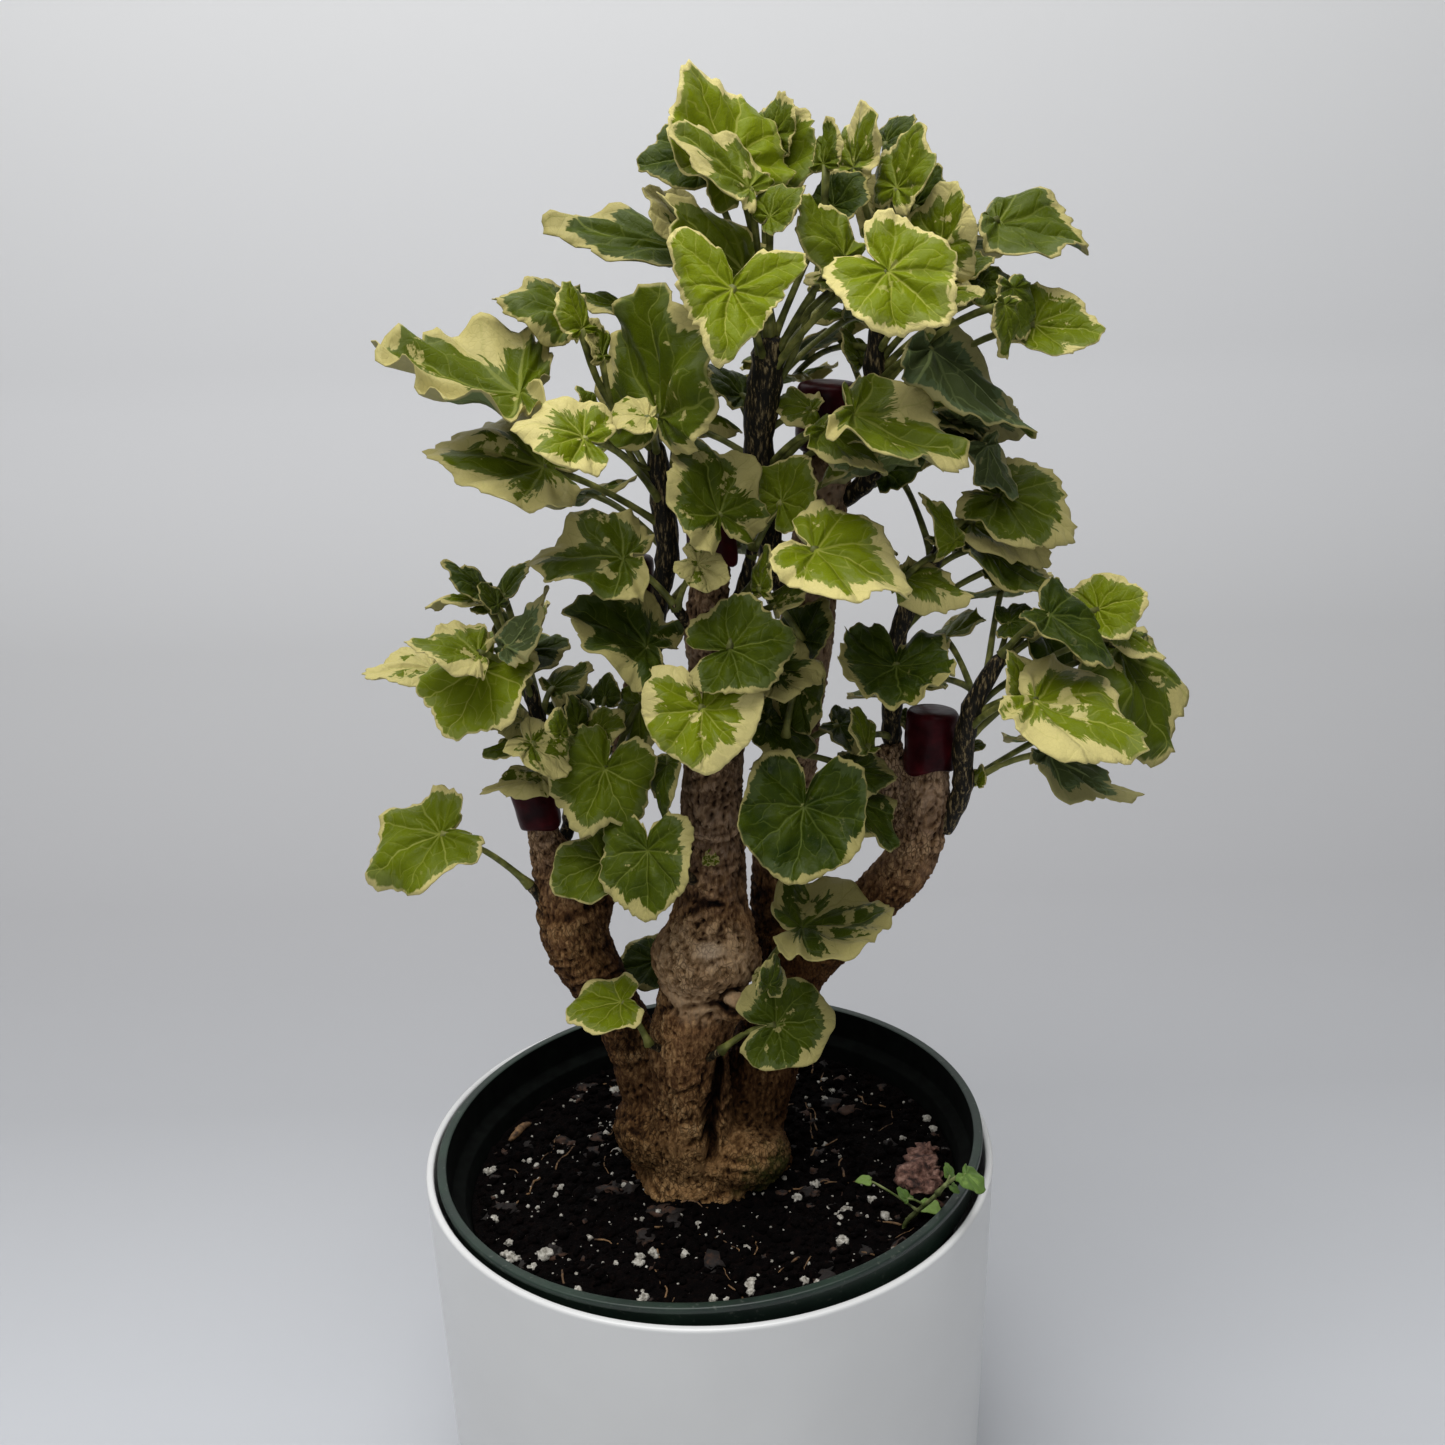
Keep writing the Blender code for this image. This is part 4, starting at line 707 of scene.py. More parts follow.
# Wax caps: dark maroon grafting wax, dipped over the sawn end of each cane in a thick glossy coat
# with a soft uneven lower edge. Each is on the end of a cane and reaches so far down it.
WAX_WALL = 1.2
WAX_SIDES = 48
WAX_CAPS = {
    "wax_cap_centre": ("centre", 11.5),
    "wax_cap_back": ("back", 15.5),
    "wax_cap_right": ("right", 16.0),
    "wax_cap_left": ("left", 13.0),
    "wax_cap_left_back": ("left_back", 11.0),
}
# Poured wax: deep maroon, redder where it is thin, with a soft sheen and slow ripples
maroon_wax, tree, shader, place = new_material("maroon_wax")
drift = add(tree, "TexNoise", place, Scale=per(6.25), Detail=3.0)
tint = add(tree, "ValToRGB", drift, stops=[(0.3, "#1E0508"), (0.6, "#3A0A10"), (0.8, "#561319")])
gloss = add(tree, "MapRange", drift, 0.0, 1.0, 0.26, 0.44)
bump = add(tree, "Bump", Strength=0.5, Distance=0.8 * MM, Height=drift)
feed(tree, shader, {"Base Color": tint, "Roughness": gloss, "Normal": bump, "IOR": 1.45,
                    "Specular IOR Level": 0.12})

for name, (cane, reach) in WAX_CAPS.items():
    end, before = Vector(CANES[cane][-1][:3]), Vector(CANES[cane][-2][:3])
    axis = (end - before).normalized()
    first, second = steady_axes(axis)
    inner = CANES[cane][-1][3] - 0.3
    outer = CANES[cane][-1][3] + GAP + WAX_WALL
    top = GAP + WAX_WALL
    # Each row is its radius, how far along the cane, and how far off the lower edge it lies
    rows = [(outer * 0.4, top, 0), (outer - 1.8, top - 0.1, 0), (outer - 0.7, top - 0.5, 0),
            (outer - 0.15, top - 1.3, 0)]
    rows += [(outer, -reach * k / 10 * 0.9, 0) for k in range(1, 11)]
    rows += [(outer - 0.1, None, 0.5), (outer - 0.7, None, 0.1), (inner, None, 0.7)]
    verts = [end + axis * top]
    for radius, along, off in rows:
        for i in range(WAX_SIDES):
            turn = 2 * math.pi * i / WAX_SIDES
            drip = -reach + 0.9 * math.sin(2 * turn + reach) + 0.6 * math.sin(3 * turn)
            if along is None:
                offset = drip + off
            else:
                offset = along if along > -1 else along * -drip / reach
            around = Vector((math.cos(turn) * 1.3, math.sin(turn) * 1.3, offset * 0.25 + reach))
            wave = 0.25 * noise.noise(around) * (radius > 3)
            out = first * math.cos(turn) + second * math.sin(turn)
            verts.append(end + axis * offset + out * (radius + wave))
    faces = []
    for i in range(WAX_SIDES):
        j = (i + 1) % WAX_SIDES
        faces.append((0, 1 + i, 1 + j))
        for row in range(len(rows) - 1):
            low, high = 1 + row * WAX_SIDES, 1 + (row + 1) * WAX_SIDES
            faces.append((low + i, high + i, high + j, low + j))
    cap = mesh_object(name + "_dipped", verts, faces, [maroon_wax])
    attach(cap, "root")
    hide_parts(name)

# Leafy shoots: each is a dark green young stem that grows from the trunk, with round variegated
# leaves on long stalks. The leaves are glossy, green with cream margins, thin and softly waved.
# Places are given as seen from a point in front of the plant: x to the right and z up on the
# upright plane through the trunk, then how far in front of that plane.
# A stem is a run of (x, z, in front, radius). A leaf is (x, z, in front, length, aim, lean,
# breadth, cup, cream, tone): aim is the way its tip points, clockwise from up; lean tips it to
# the front; breadth is how broad it looks, below zero where its underside shows; cream is how much
# of it is cream, and tone goes from deep green to bright. Tone is partly the leaf's own green and
# partly painted light and shade: leaves in the light have a brighter tone, shaded ones a darker.
EYE = Vector((7.5, -387.0, 374.6))
SHOOTS = {
    "shoot_top": ([
        (31, 286, -20, 3), (23, 297, -15, 3.4), (21, 313, -9, 3.6), (19, 330, -5, 4),
        (21, 347, -3, 4.6), (23, 359, 0, 3.6),
    ], [
        (14, 402, 6, 24, 333, -10, 26, 0.2, 0.12, 0.95),
        (5, 403, -2, 15, 262, 0, 13, 0.2, 0.1, 0.15),
        (18, 395, 12, 23, 308, 0, 12, 0.3, 0.35, 0.55),
        (24, 407, -4, 11, 10, -10, 13, 0.2, 0.15, 0.45),
        (22, 397, 10, 20, 35, -5, 20, 0.15, 0.3, 0.5),
        (23, 388, 18, 11, 48, 0, 9.5, 0.2, 0.05, 0.5),
        (42, 378, 18, 19, 322, 0, 9, 0.3, 0.08, 0.55),
        (0, 380, 4, 36, 284, 0, 13, 0.3, 0.2, 0.2),
        (3, 385, -4, 16, 315, 0, 12, 0.2, 0.6, 0.25),
        (16, 375, 14, 28, 311, 0, 15, 0.25, 0.12, 0.55),
        (13, 371, 34, 19, 192, 30, 34, 0.12, 0.12, 0.95),
        (37, 400, 2, 11, 8, -10, 6.5, 0.2, 0.15, 0.4),
        (39, 390, 2, 11, 40, -10, 13, 0.2, 0.1, 0.12),
        (53, 374, 30, 20, 128, 20, 27, 0.12, 0.18, 0.95),
        (44, 338, 24, 30, 113, 0, 18, 0.3, 0.35, 0.5),
        (37, 335, 17, 19, 127, 5, 12, 0.1, 0.2, 0.45),
        (15, 344, -12, 14, 322, -10, 11, 0.1, 0.1, 0.12),
        (33, 340, -14, 11, 280, 0, 9, 0.1, 0.35, 0.5),
        (46, 374, 12, 15, 265, 0, 8.5, 0.1, 0.3, 0.7),
        (41, 332, 6, 12, 118, 0, 9, 0.1, 0.15, 0.25),
    ]),
    "shoot_top_right": ([
        (41, 316, -19, 2.6), (49, 323, -12, 2.8), (49, 337, -12, 2.9), (50, 353, -10, 3),
        (52, 368, -8, 2.3),
    ], [
        (44, 399, -2, 17, 8, -10, 14, 0.2, 0.4, 0.65),
        (52, 405, -10, 9.5, 50, 0, 7, 0.1, 0.1, 0.15),
        (55, 394, 0, 16, 22, -5, 15, 0.2, 0.25, 0.6),
        (60, 390, -8, 11, 30, 0, 11, 0.15, 0.08, 0.15),
        (52, 383, 10, 16, 355, 0, 10, 0.2, 0.45, 0.55),
        (66, 379, 12, 16, 5, -5, 18, 0.15, 0.35, 0.6),
        (67, 369, 18, 10, 95, 0, 6.5, 0.1, 0.5, 0.6),
        (71, 375, 8, 9.5, 80, 0, 6.5, 0.1, 0.12, 0.3),
        (76, 384, 2, 15, 122, 5, 10, 0.2, 0.12, 0.95),
        (81, 386, -6, 25, 109, 0, 16, 0.25, 0.2, 0.3),
        (77, 371, 14, 11, 125, 0, 9, 0.1, 0.08, 0.25),
        (83, 365, 24, 13, 170, 5, 5.5, 0.1, 0.15, 0.45),
        (85, 369, 12, 13, 166, 5, 9.5, 0.1, 0.12, 0.3),
        (91, 360, 14, 17, 103, 0, 20, 0.5, 0.35, 0.65),
        (64, 354, 8, 36, 128, 0, -14, 0.25, 0.2, 0.2),
        (46, 352, -20, 10, 335, 0, 7.5, 0.1, 0.12, 0.45),
        (62, 342, -4, 23, 115, 0, 16, 0.15, 0.1, 0.15),
        (53, 323, -2, 13, 55, 0, 11, 0.1, 0.05, 0.08),
        (56, 342, -16, 6, 50, 0, 4.5, 0.1, 0.1, 0.35),
        (66, 335, -10, 14, 112, 0, 14, 0.15, 0.12, 0.15),
        (79, 329, -2, 16, 152, 0, -11, 0.2, 0.2, 0.3),
    ]),
    "shoot_upper_left": ([
        (-14, 264, -14, 2.4), (-11, 276, -9, 2.6), (-9, 290, -7, 2.7), (-6, 303, -5, 3.2),
        (-7, 317, -4, 3.2), (-8, 333, -2, 2.4),
    ], [
        (-28, 366, -10, 21, 287, 0, 11, 0.2, 0.15, 0.3),
        (-26, 362, -6, 12, 345, 0, 6, 0.15, 0.2, 0.75),
        (-15, 367, -16, 15, 285, 0, 7, 0.1, 0.25, 0.3),
        (-25, 342, 0, 6, 345, 0, 3.5, 0.1, 0.1, 0.35),
        (-43, 346, 8, 38, 283, 0, 23, 0.35, 0.45, 0.42),
        (-38, 327, 14, 29, 287, 0, 27, 0.25, 0.45, 0.4),
        (-27, 334, 22, 17, 290, 5, 18, 0.2, 0.35, 0.75),
        (-7, 339, 12, 34, 3, 0, 25, 0.4, 0.25, 0.32),
        (-10, 339, 20, 13, 277, 5, 8, 0.15, 1, 0.6),
        (-12, 343, 2, 12, 308, 0, 9.5, 0.1, 0.1, 0.2),
        (-21, 355, -16, 9.5, 350, 0, 6.5, 0.1, 0.4, 0.45),
    ]),
    "shoot_left": ([
        (-41, 217, -9, 2), (-37, 226, -13, 2.1), (-37, 236, -12, 2.2), (-41, 248, -5, 2.2),
        (-44, 258, 0, 2.2), (-46, 268, 3, 1.7),
    ], [
        (-58, 272, 12, 21, 212, 12, 28, 0.12, 0.12, 0.85),
        (-59, 277, 6, 19, 284, 0, 11, 0.15, 0.45, 0.6),
        (-72, 273, 0, 19, 271, 0, 10, 0.2, 0.85, 0.6),
        (-57, 292, -2, 16, 275, 0, 4, 0.1, 0.4, 0.6),
        (-57, 294, -6, 13, 315, 0, 5.5, 0.2, 0.1, 0.15),
        (-54, 290, 0, 6.5, 265, 0, 4, 0.1, 0.1, 0.45),
        (-51, 278, 8, 20, 42, 0, -9.5, 0.2, 0.3, 0.25),
        (-51, 293, -6, 12, 40, 0, 6, 0.1, 0.12, 0.2),
        (-53, 290, -2, 7.5, 330, 0, 6, 0.1, 0.1, 0.25),
        (-47, 276, -6, 15, 75, 0, 13, 0.1, 0.15, 0.1),
        (-46, 250, 16, 13, 130, 0, 14, 0.15, 0.6, 0.4),
        (-47, 251, 10, 13, 264, 0, 4.5, 0.1, 0.15, 0.4),
        (-44, 240, 8, 18, 262, 0, 6.5, 0.1, 0.85, 0.4),
        (-48, 257, 2, 11, 268, 0, 6, 0.1, 0.8, 0.4),
        (-50, 280, -10, 10, 345, 0, 7.5, 0.1, 0.1, 0.25),
        (-39, 266, -14, 13, 60, 0, 9, 0.1, 0.35, 0.3),
    ]),
    "shoot_right": ([
        (70, 221, -4, 2.6), (75, 233, 0, 2.9), (75, 246, 3, 3), (78, 259, 6, 2.8),
        (85, 272, 8, 1.9),
    ], [
        (111, 284, 4, 14, 70, 0, 18, 0.15, 0.15, 0.85),
        (98, 283, 12, 21, 122, 0, 19, 0.45, 0.15, 0.12),
        (93, 260, 16, 14, 338, 0, 12, 0.15, 0.2, 0.7),
        (95, 259, 22, 30, 110, 5, 21, 0.15, 0.6, 0.75),
        (99, 243, 8, 26, 121, 0, -10, 0.15, 0.25, 0.25),
        (118, 273, 0, 35, 154, 0, 17, 0.15, 0.4, 0.3),
        (117, 277, -6, 14, 115, 0, 7.5, 0.1, 0.3, 0.6),
        (79, 235, 2, 5.5, 15, 0, 4, 0.1, 0.1, 0.6),
        (95, 279, 2, 20, 150, 0, 9.5, 0.15, 0.1, 0.12),
        (87, 281, -2, 10, 84, 0, 10, 0.1, 0.1, 0.15),
        (77, 246, -4, 4.5, 85, 0, 3.5, 0.1, 0.2, 0.4),
    ]),
    "shoot_mid_right": ([
        (59, 232, -11, 2.9), (55, 248, -13, 2.8), (55, 260, -10, 2.9), (56, 277, -3, 2.7),
        (61, 291, 0, 2.4), (68, 303, 3, 2), (69, 312, 4, 1.5),
    ], [
        (58, 294, 14, 18, 100, 5, 9, 0.1, 0.3, 0.5),
        (56, 270, 22, 19, 180, 50, 34, 0.35, 0.2, 0.12),
        (83, 316, 4, 23, 113, 0, 23, 0.2, 0.2, 0.35),
        (76, 309, 10, 24, 112, 0, 11, 0.15, 0.4, 0.6),
        (77, 302, 0, 28, 119, 0, 9, 0.15, 0.15, 0.25),
        (71, 304, 8, 16, 328, 0, 6, 0.1, 0.1, 0.55),
        (69, 304, 12, 5.5, 285, 0, 3.5, 0.1, 0.2, 0.4),
        (58, 255, 4, 6, 130, 0, 5, 0.1, 0.4, 0.4),
        (48, 246, -6, 12, 345, 0, 7, 0.1, 0.2, 0.5),
        (84, 297, -6, 16, 108, 0, 12, 0.15, 0.2, 0.3),
    ]),
    "sprout_centre_top": ([
        (7, 279, -1, 1.7), (12, 288, 2, 1.9), (15, 296, 4, 1.8), (17, 304, 5, 1.4),
    ], [
        (8, 313, 20, 21, 345, -5, 24, 0.3, 0.5, 0.3),
        (25, 316, 14, 14, 28, 0, 16, 0.15, 0.05, 0.55),
        (42, 316, 12, 21, 100, 0, 14, 0.15, 0.15, 0.1),
        (34, 303, 32, 26, 113, 8, 24, 0.15, 0.25, 0.8),
        (10, 276, 24, 18, 77, 5, 24, 0.12, 0.12, 0.25),
        (21, 271, 16, 15, 102, 0, 16, 0.1, 0.4, 0.15),
        (30, 278, -2, 13, 22, 0, 14, 0.1, 0.1, 0.1),
        (23, 288, 4, 11, 62, 0, 7, 0.1, 0.45, 0.3),
        (43, 321, -4, 16, 92, 0, 11, 0.1, 0.1, 0.12),
        (19, 292, -8, 12, 8, 0, 7, 0.1, 0.3, 0.45),
    ]),
    "sprout_centre_right": ([
        (8, 219, -1, 1.8), (15, 228, 2, 1.9), (20, 240, 4, 1.8), (25, 250, 5, 1.4),
    ], [
        (29, 266, 12, 15, 177, 0, 15, 0.1, 0.25, 0.2),
        (20, 255, 8, 16, 125, 0, 14, 0.1, 0.35, 0.15),
        (30, 229, 30, 21, 190, 10, 36, 0.3, 0.15, 0.12),
        (40, 253, 2, 13, 122, 0, 11, 0.1, 0.3, 0.1),
        (45, 231, 16, 17, 140, 0, 13, 0.1, 0.25, 0.15),
        (21, 242, 10, 12, 150, 0, 8, 0.1, 0.2, 0.12),
        (43, 240, -2, 14, 100, 0, 11, 0.1, 0.2, 0.2),
    ]),
    "stalk_centre_left": ([
        (1, 280, 4, 1.5), (-5, 289, 12, 1.4),
    ], [
        (-18, 301, 16, 24, 279, 0, 21, 0.2, 0.35, 0.3),
        (2, 300, 22, 9.5, 120, 0, 12, 0.05, 1, 0.5),
    ]),
    "sprout_centre_front": ([
        (1, 251, 0, 1.6), (-2, 259, 10, 1.6), (-3, 262, 14, 1.4),
    ], [
        (-13, 277, 18, 24, 300, 0, 21, 0.4, 0.3, 0.15),
        (2, 259, 32, 19, 178, 15, 31, 0.05, 0.4, 0.9),
        (-8, 243, 14, 17, 200, 0, 7.5, 0.1, 0.25, 0.2),
    ]),
    "stalk_centre_low": ([
        (-2, 207, 12, 1.4), (-6, 211, 21, 1.3),
    ], [
        (-15, 217, 27, 19, 185, 5, 25, 0.1, 0.25, 0.25),
    ]),
    "stalk_left_far": ([
        (-46, 202, 0, 1.4), (-50, 208, 3, 1.4),
    ], [
        (-74, 224, 6, 23, 252, 0, 26, 0.15, 0.15, 0.6),
    ]),
    "stalk_left_near": ([
        (-36, 204, 0, 1.4), (-29, 210, 11, 1.4),
    ], [
        (-28, 214, 16, 16, 248, 5, 19, 0.1, 0.12, 0.35),
    ]),
    "sprout_left_back": ([
        (-22, 229, -9, 1.8), (-25, 235, -4, 1.8), (-26, 244, -1, 1.6),
    ], [
        (-26, 242, 18, 19, 204, 10, 27, 0.12, 0.12, 0.4),
        (-25, 263, 4, 7.5, 12, 0, 6.5, 0.1, 0.1, 0.2),
        (-27, 253, 8, 9, 45, 0, 9.5, 0.1, 0.2, 0.5),
        (-33, 255, 2, 9.5, 350, 0, 6.5, 0.1, 0.1, 0.25),
        (-15, 261, -12, 15, 185, 0, 13, 0.1, 0.15, 0.4),
        (-38, 253, 6, 7, 0, 0, 4.5, 0.1, 0.1, 0.45),
        (-31, 262, -16, 12, 262, 0, 11, 0.1, 0.15, 0.12),
    ]),
    "stalk_right_low": ([
        (14, 168, 2, 1.4), (17, 177, 7, 1.2),
    ], [
        (29, 191, 18, 26, 84, 0, 23, 0.15, 0.55, 0.2),
        (19, 173, 10, 9, 20, 0, 8, 0.1, 0.3, 0.2),
    ]),
    "stalk_front_low": ([
        (0, 149, 14, 1.2), (5, 152, 21, 1.1),
    ], [
        (21, 160, 22, 17, 84, 0, 26, 0.1, 0.25, 0.2),
    ]),
    "stalk_left_low": ([
        (-12, 152, 12, 1.2), (-18, 155, 17, 1.1),
    ], [
        (-25, 169, 18, 16, 262, 0, 16, 0.05, 0.15, 0.75),
    ]),
    "stalk_left_behind": ([
        (-8, 178, -2, 1.2), (-12, 180, -6, 1),
    ], [
        (-14, 182, -8, 13, 258, 0, 16, 0.05, 0.15, 0.1),
    ]),
    "weed_seedling": ([
        (60, 85, 33, 0.9), (61, 90, 34, 0.9), (69, 98, 42, 0.8), (73, 103, 47, 0.7),
    ], [
        (49, 105, 36, 4, 272, 0, 2.5, 0, 0, 0.8),
        (61, 98, 39, 4, 320, 0, 3, 0, 0, 0.6),
        (74, 106, 47, 3.5, 345, 0, 2.5, 0, 0, 0.7),
        (75, 102, 47, 2.5, 130, 0, 2, 0, 0, 0.6),
        (79, 106, 51, 6.5, 125, 0, 5, 0, 0, 0.7),
        (66, 95, 28, 5.5, 95, 10, 4, 0, 0, 0.9),
    ]),
}
BACK_LEAVES = {
    "shoot_top": (6, 30),
    "shoot_top_right": (5, 30),
    "shoot_upper_left": (4, 28),
    "shoot_left": (3, 24),
    "shoot_right": (4, 26),
    "shoot_mid_right": (3, 26),
    "sprout_centre_right": (2, 22),
    "sprout_left_back": (1, 22),
}  # how many leaves a shoot has on its far side, and how far out they stand
SEED = 7
GOLDEN = 137.5  # degrees from one leaf to the next round a stem
FULL_BREADTH = 1.85  # a blade's breadth in leaf lengths, and the one it shows when it faces the eye
NATURAL_BREADTH = 1.5
MOST_ROLL = math.radians(62)
BLADE_HALF = 0.38
STALK_R = 1.0
STALK_SPACE = 3.0
LEAST_RISE = 0.35
CLEAR = 0.45
CANE_SIDES = 9
LARGE_FROM = 21
MIDDLE_FROM = 12
SHIFTS = [0, 3, -3, 6, -6, 9, -9, 12, -12, 16, -16, 20, -20, 25, -25]
STALK_WAYS = [(0.55, 0.18), (0.55, 0.34), (0.55, 0.02), (0.2, 0.2), (0.2, 0.0), (-0.2, 0.1),
              (0.9, 0.1), (0.55, -0.12)]  # how far a stalk drops to its stem, and how high it bows


def seen(x, z, front):
    """The place that shows at (x, z) on the plane of the trunk and lies this far in front of it."""
    return EYE + (Vector((x, 0, z)) - EYE) * (1 + front / EYE.y)


def seen_axes(place):
    """Right, up and towards the eye, at a place."""
    toward = (EYE - place).normalized()
    right = Vector((0, 0, 1)).cross(toward).normalized()
    return right, toward.cross(right), toward


def outline(length):
    """The edge of a blade in few points, as (turn from the tip, reach), to test its place with."""
    if length >= LARGE_FROM:
        return [(-155, 0.72), (-125, 0.92), (-96, 0.88), (-64, 1.0), (-32, 0.93), (0, 1.0),
                (32, 0.93), (64, 1.0), (96, 0.88), (125, 0.92), (155, 0.72), (180, 0.14)]
    if length >= MIDDLE_FROM:
        return [(-145, 0.78), (-100, 0.95), (-66, 0.88), (-34, 0.97), (0, 1.0),
                (40, 0.90), (86, 0.96), (140, 0.80), (180, 0.14)]
    return [(-130, 0.78), (-66, 0.92), (0, 1.0), (66, 0.92), (130, 0.78), (180, 0.14)]


def rim_of(place, tip, face, length, cup, width, back):
    """The cupped rim of a blade through the points of its outline."""
    side = tip.cross(face).normalized()
    rim = []
    for turn, reach in outline(length):
        x = math.sin(math.radians(turn)) * reach * width
        y = math.cos(math.radians(turn)) * reach
        y *= back if y < 0 else 1
        ahead = max(y, 0) ** 2
        rise = cup * (0.55 * x * x + 0.25 * ahead) - 0.06 * ahead
        rim.append(place + (side * (x * math.cos(1.6 * cup * x)) + tip * y + face * rise) * length)
    return rim


def rim_faces(n):
    """The narrow faces round a blade's edge."""
    faces = []
    for i in range(n):
        j = (i + 1) % n
        faces += [(i, j, n + i), (j, n + j, n + i)]
    return faces


def blade(place, tip, face, length, cup, width, back, half):
    """A thin cupped blade in few faces, to test a leaf's place with."""
    rim = rim_of(place, tip, face, length, cup, width, back)
    verts = [v + face * half for v in rim] + [v - face * half for v in rim]
    verts += [place + face * half, place - face * half]
    n = len(rim)
    faces = rim_faces(n)
    for i in range(n):
        j = (i + 1) % n
        faces += [(j, i, 2 * n), (n + i, n + j, 2 * n + 1)]
    return verts, faces


def bezier(start, middle, end, share):
    """The place at this share of a curve bent towards its middle point."""
    return start * (1 - share) ** 2 + middle * 2 * share * (1 - share) + end * share ** 2


def stalk_path(root, place, face, lift, steps=None):
    """The bowed run of a stalk from its blade to its stem, and the side of the blade it leaves."""
    span = (place - root).length
    middle = (root + place) / 2 + Vector((0, 0, span * lift))
    away = (middle - place).normalized()
    side = face if away.dot(face) > 0 else -face
    middle += side * max(LEAST_RISE - away.dot(side), 0) * span * 0.5
    steps = steps or (1 if span < 10 else 2 if span < 34 else 3)
    return [bezier(place, middle, root, k / steps) for k in range(steps + 1)], side


def stalk(root, place, face, lift, radius):
    """A stalk in few faces, to test its place with."""
    path, _ = stalk_path(root, place, face, lift)
    return tube(path, [radius] * len(path), 3)


def whole_leaf(spot, tip, face, length, cup, width, back, root, lift):
    """A blade and its stalk in one skin of few faces, to test that they don't cross."""
    rim = rim_of(spot, tip, face, length, cup, width, back)
    n = len(rim)
    path, side = stalk_path(root, spot, face, lift)
    near, far = (0, n) if side == face else (n, 0)
    verts = [v + face * BLADE_HALF for v in rim] + [v - face * BLADE_HALF for v in rim]
    verts.append(spot - side * BLADE_HALF)
    faces = rim_faces(n)
    for i in range(n):
        faces.append((far + i, far + (i + 1) % n, 2 * n))
    radius = min(STALK_R, 0.09 * length)
    turns = [math.radians(a) for a in (-120, 0, 120)]
    spokes = [tip * math.cos(a) + tip.cross(face) * math.sin(a) for a in turns]
    ring = len(verts)
    verts += [spot + side * BLADE_HALF + spoke * radius for spoke in spokes]
    owner = [min(range(3), key=lambda k: -spokes[k].dot((v - spot).normalized())) for v in rim]
    for i in range(n):
        j = (i + 1) % n
        faces.append((near + i, near + j, ring + owner[i]))
        if owner[i] != owner[j]:
            faces.append((near + j, ring + owner[j], ring + owner[i]))
    heading = side
    for k in range(1, len(path)):
        ahead = (path[min(k + 1, len(path) - 1)] - path[k - 1]).normalized()
        turn = heading.rotation_difference(ahead)
        spokes = [turn @ spoke for spoke in spokes]
        heading = ahead
        verts += [path[k] + spoke * radius for spoke in spokes]
        low, high = ring + 3 * (k - 1), ring + 3 * k
        for i in range(3):
            j = (i + 1) % 3
            faces += [(low + i, low + j, high + j), (low + i, high + j, high + i)]
    faces.append((len(verts) - 3, len(verts) - 2, len(verts) - 1))
    return verts, faces


def stalk_root(stem, place, drop, taken):
    """Where on its stem a leaf's stalk starts: lower than the blade by a share of its distance,
    and clear of the stalks already there."""
    if len(stem) == 2:
        return stem[0].lerp(stem[1], 0.85)
    best = None
    for low, high in zip(stem[1:], stem[2:]):
        for k in range(13):
            point = low.lerp(high, k / 12)
            out = Vector((place.x - point.x, place.y - point.y, 0)).length
            miss = abs((place.z - point.z) - drop * out)
            miss += sum(2.5 * max(STALK_SPACE - (point - other).length, 0) for other in taken)
            if best is None or miss < best[0]:
                best = (miss, point)
    return best[1]


def leaf_frame(row):
    """Place, tip direction, face direction, width and back lobes of a leaf from its row: a leaf
    that looks narrower than it grows is rolled about its midrib, its face kept upwards, then
    narrowed, and its lobes behind the stalk are short."""
    x, z, front, length, aim, lean, breadth, cup = row
    place = seen(x, z, front)
    right, up, toward = seen_axes(place)
    aim, lean = math.radians(aim), math.radians(lean)
    tip = (right * math.sin(aim) + up * math.cos(aim)) * math.cos(lean) + toward * math.sin(lean)
    face = (toward - tip * toward.dot(tip)).normalized()
    roll = min(math.acos(min(abs(breadth) / (NATURAL_BREADTH * length), 1)), MOST_ROLL)
    width = abs(breadth) / (FULL_BREADTH * length * math.cos(roll))
    back = min(max((abs(breadth) / length - 0.3) / 1.2, 0.25), 1)
    turned_face = Matrix.Rotation(roll, 3, tip) @ face
    if turned_face.z < 0:
        turned_face = Matrix.Rotation(-roll, 3, tip) @ face
    if breadth < 0:
        turned_face = -turned_face
    return place, tip, turned_face, length, cup, width, back


def back_leaves(name, stem):
    """Leaves on the side away from the front, turned out and up."""
    count, reach = BACK_LEAVES.get(name, (0, 0))
    draw = random.Random(SEED)
    leaves = []
    for i in range(count):
        share = (i + 0.5) / count
        turn = math.radians(90 + ((i * GOLDEN) % 170) - 85)
        out = Vector((math.cos(turn), math.sin(turn), 0))
        low = stem[max(len(stem) // 2 - 1, 1)]
        base = low.lerp(stem[-1], share)
        length = 15 + 7 * draw.random()
        place = base + out * reach * (0.75 + 0.4 * draw.random()) + Vector((0, 0, 8 + 10 * share))
        tip = (out + Vector((0, 0, 0.35 * draw.random() - 0.25))).normalized()
        face = (Vector((0, 0, 1)) - tip * tip.z).normalized()
        face = Matrix.Rotation(math.radians(50 * draw.random() - 25), 3, tip) @ face
        leaves.append((place, tip, face, length, 0.15, 0.95, 0.8))
    return leaves


def measured(verts, faces):
    """A form's middle, how far it reaches from it, and its tree of faces."""
    centre = sum((Vector(v) for v in verts), Vector()) / len(verts)
    reach = max((Vector(v) - centre).length for v in verts)
    return centre, reach, BVHTree.FromPolygons([tuple(v) for v in verts], faces)


def crosses_itself(verts, faces):
    """Whether two faces that share no corner cross."""
    known = measured(verts, faces)[2]
    return any(not set(faces[a]) & set(faces[b]) for a, b in known.overlap(known))


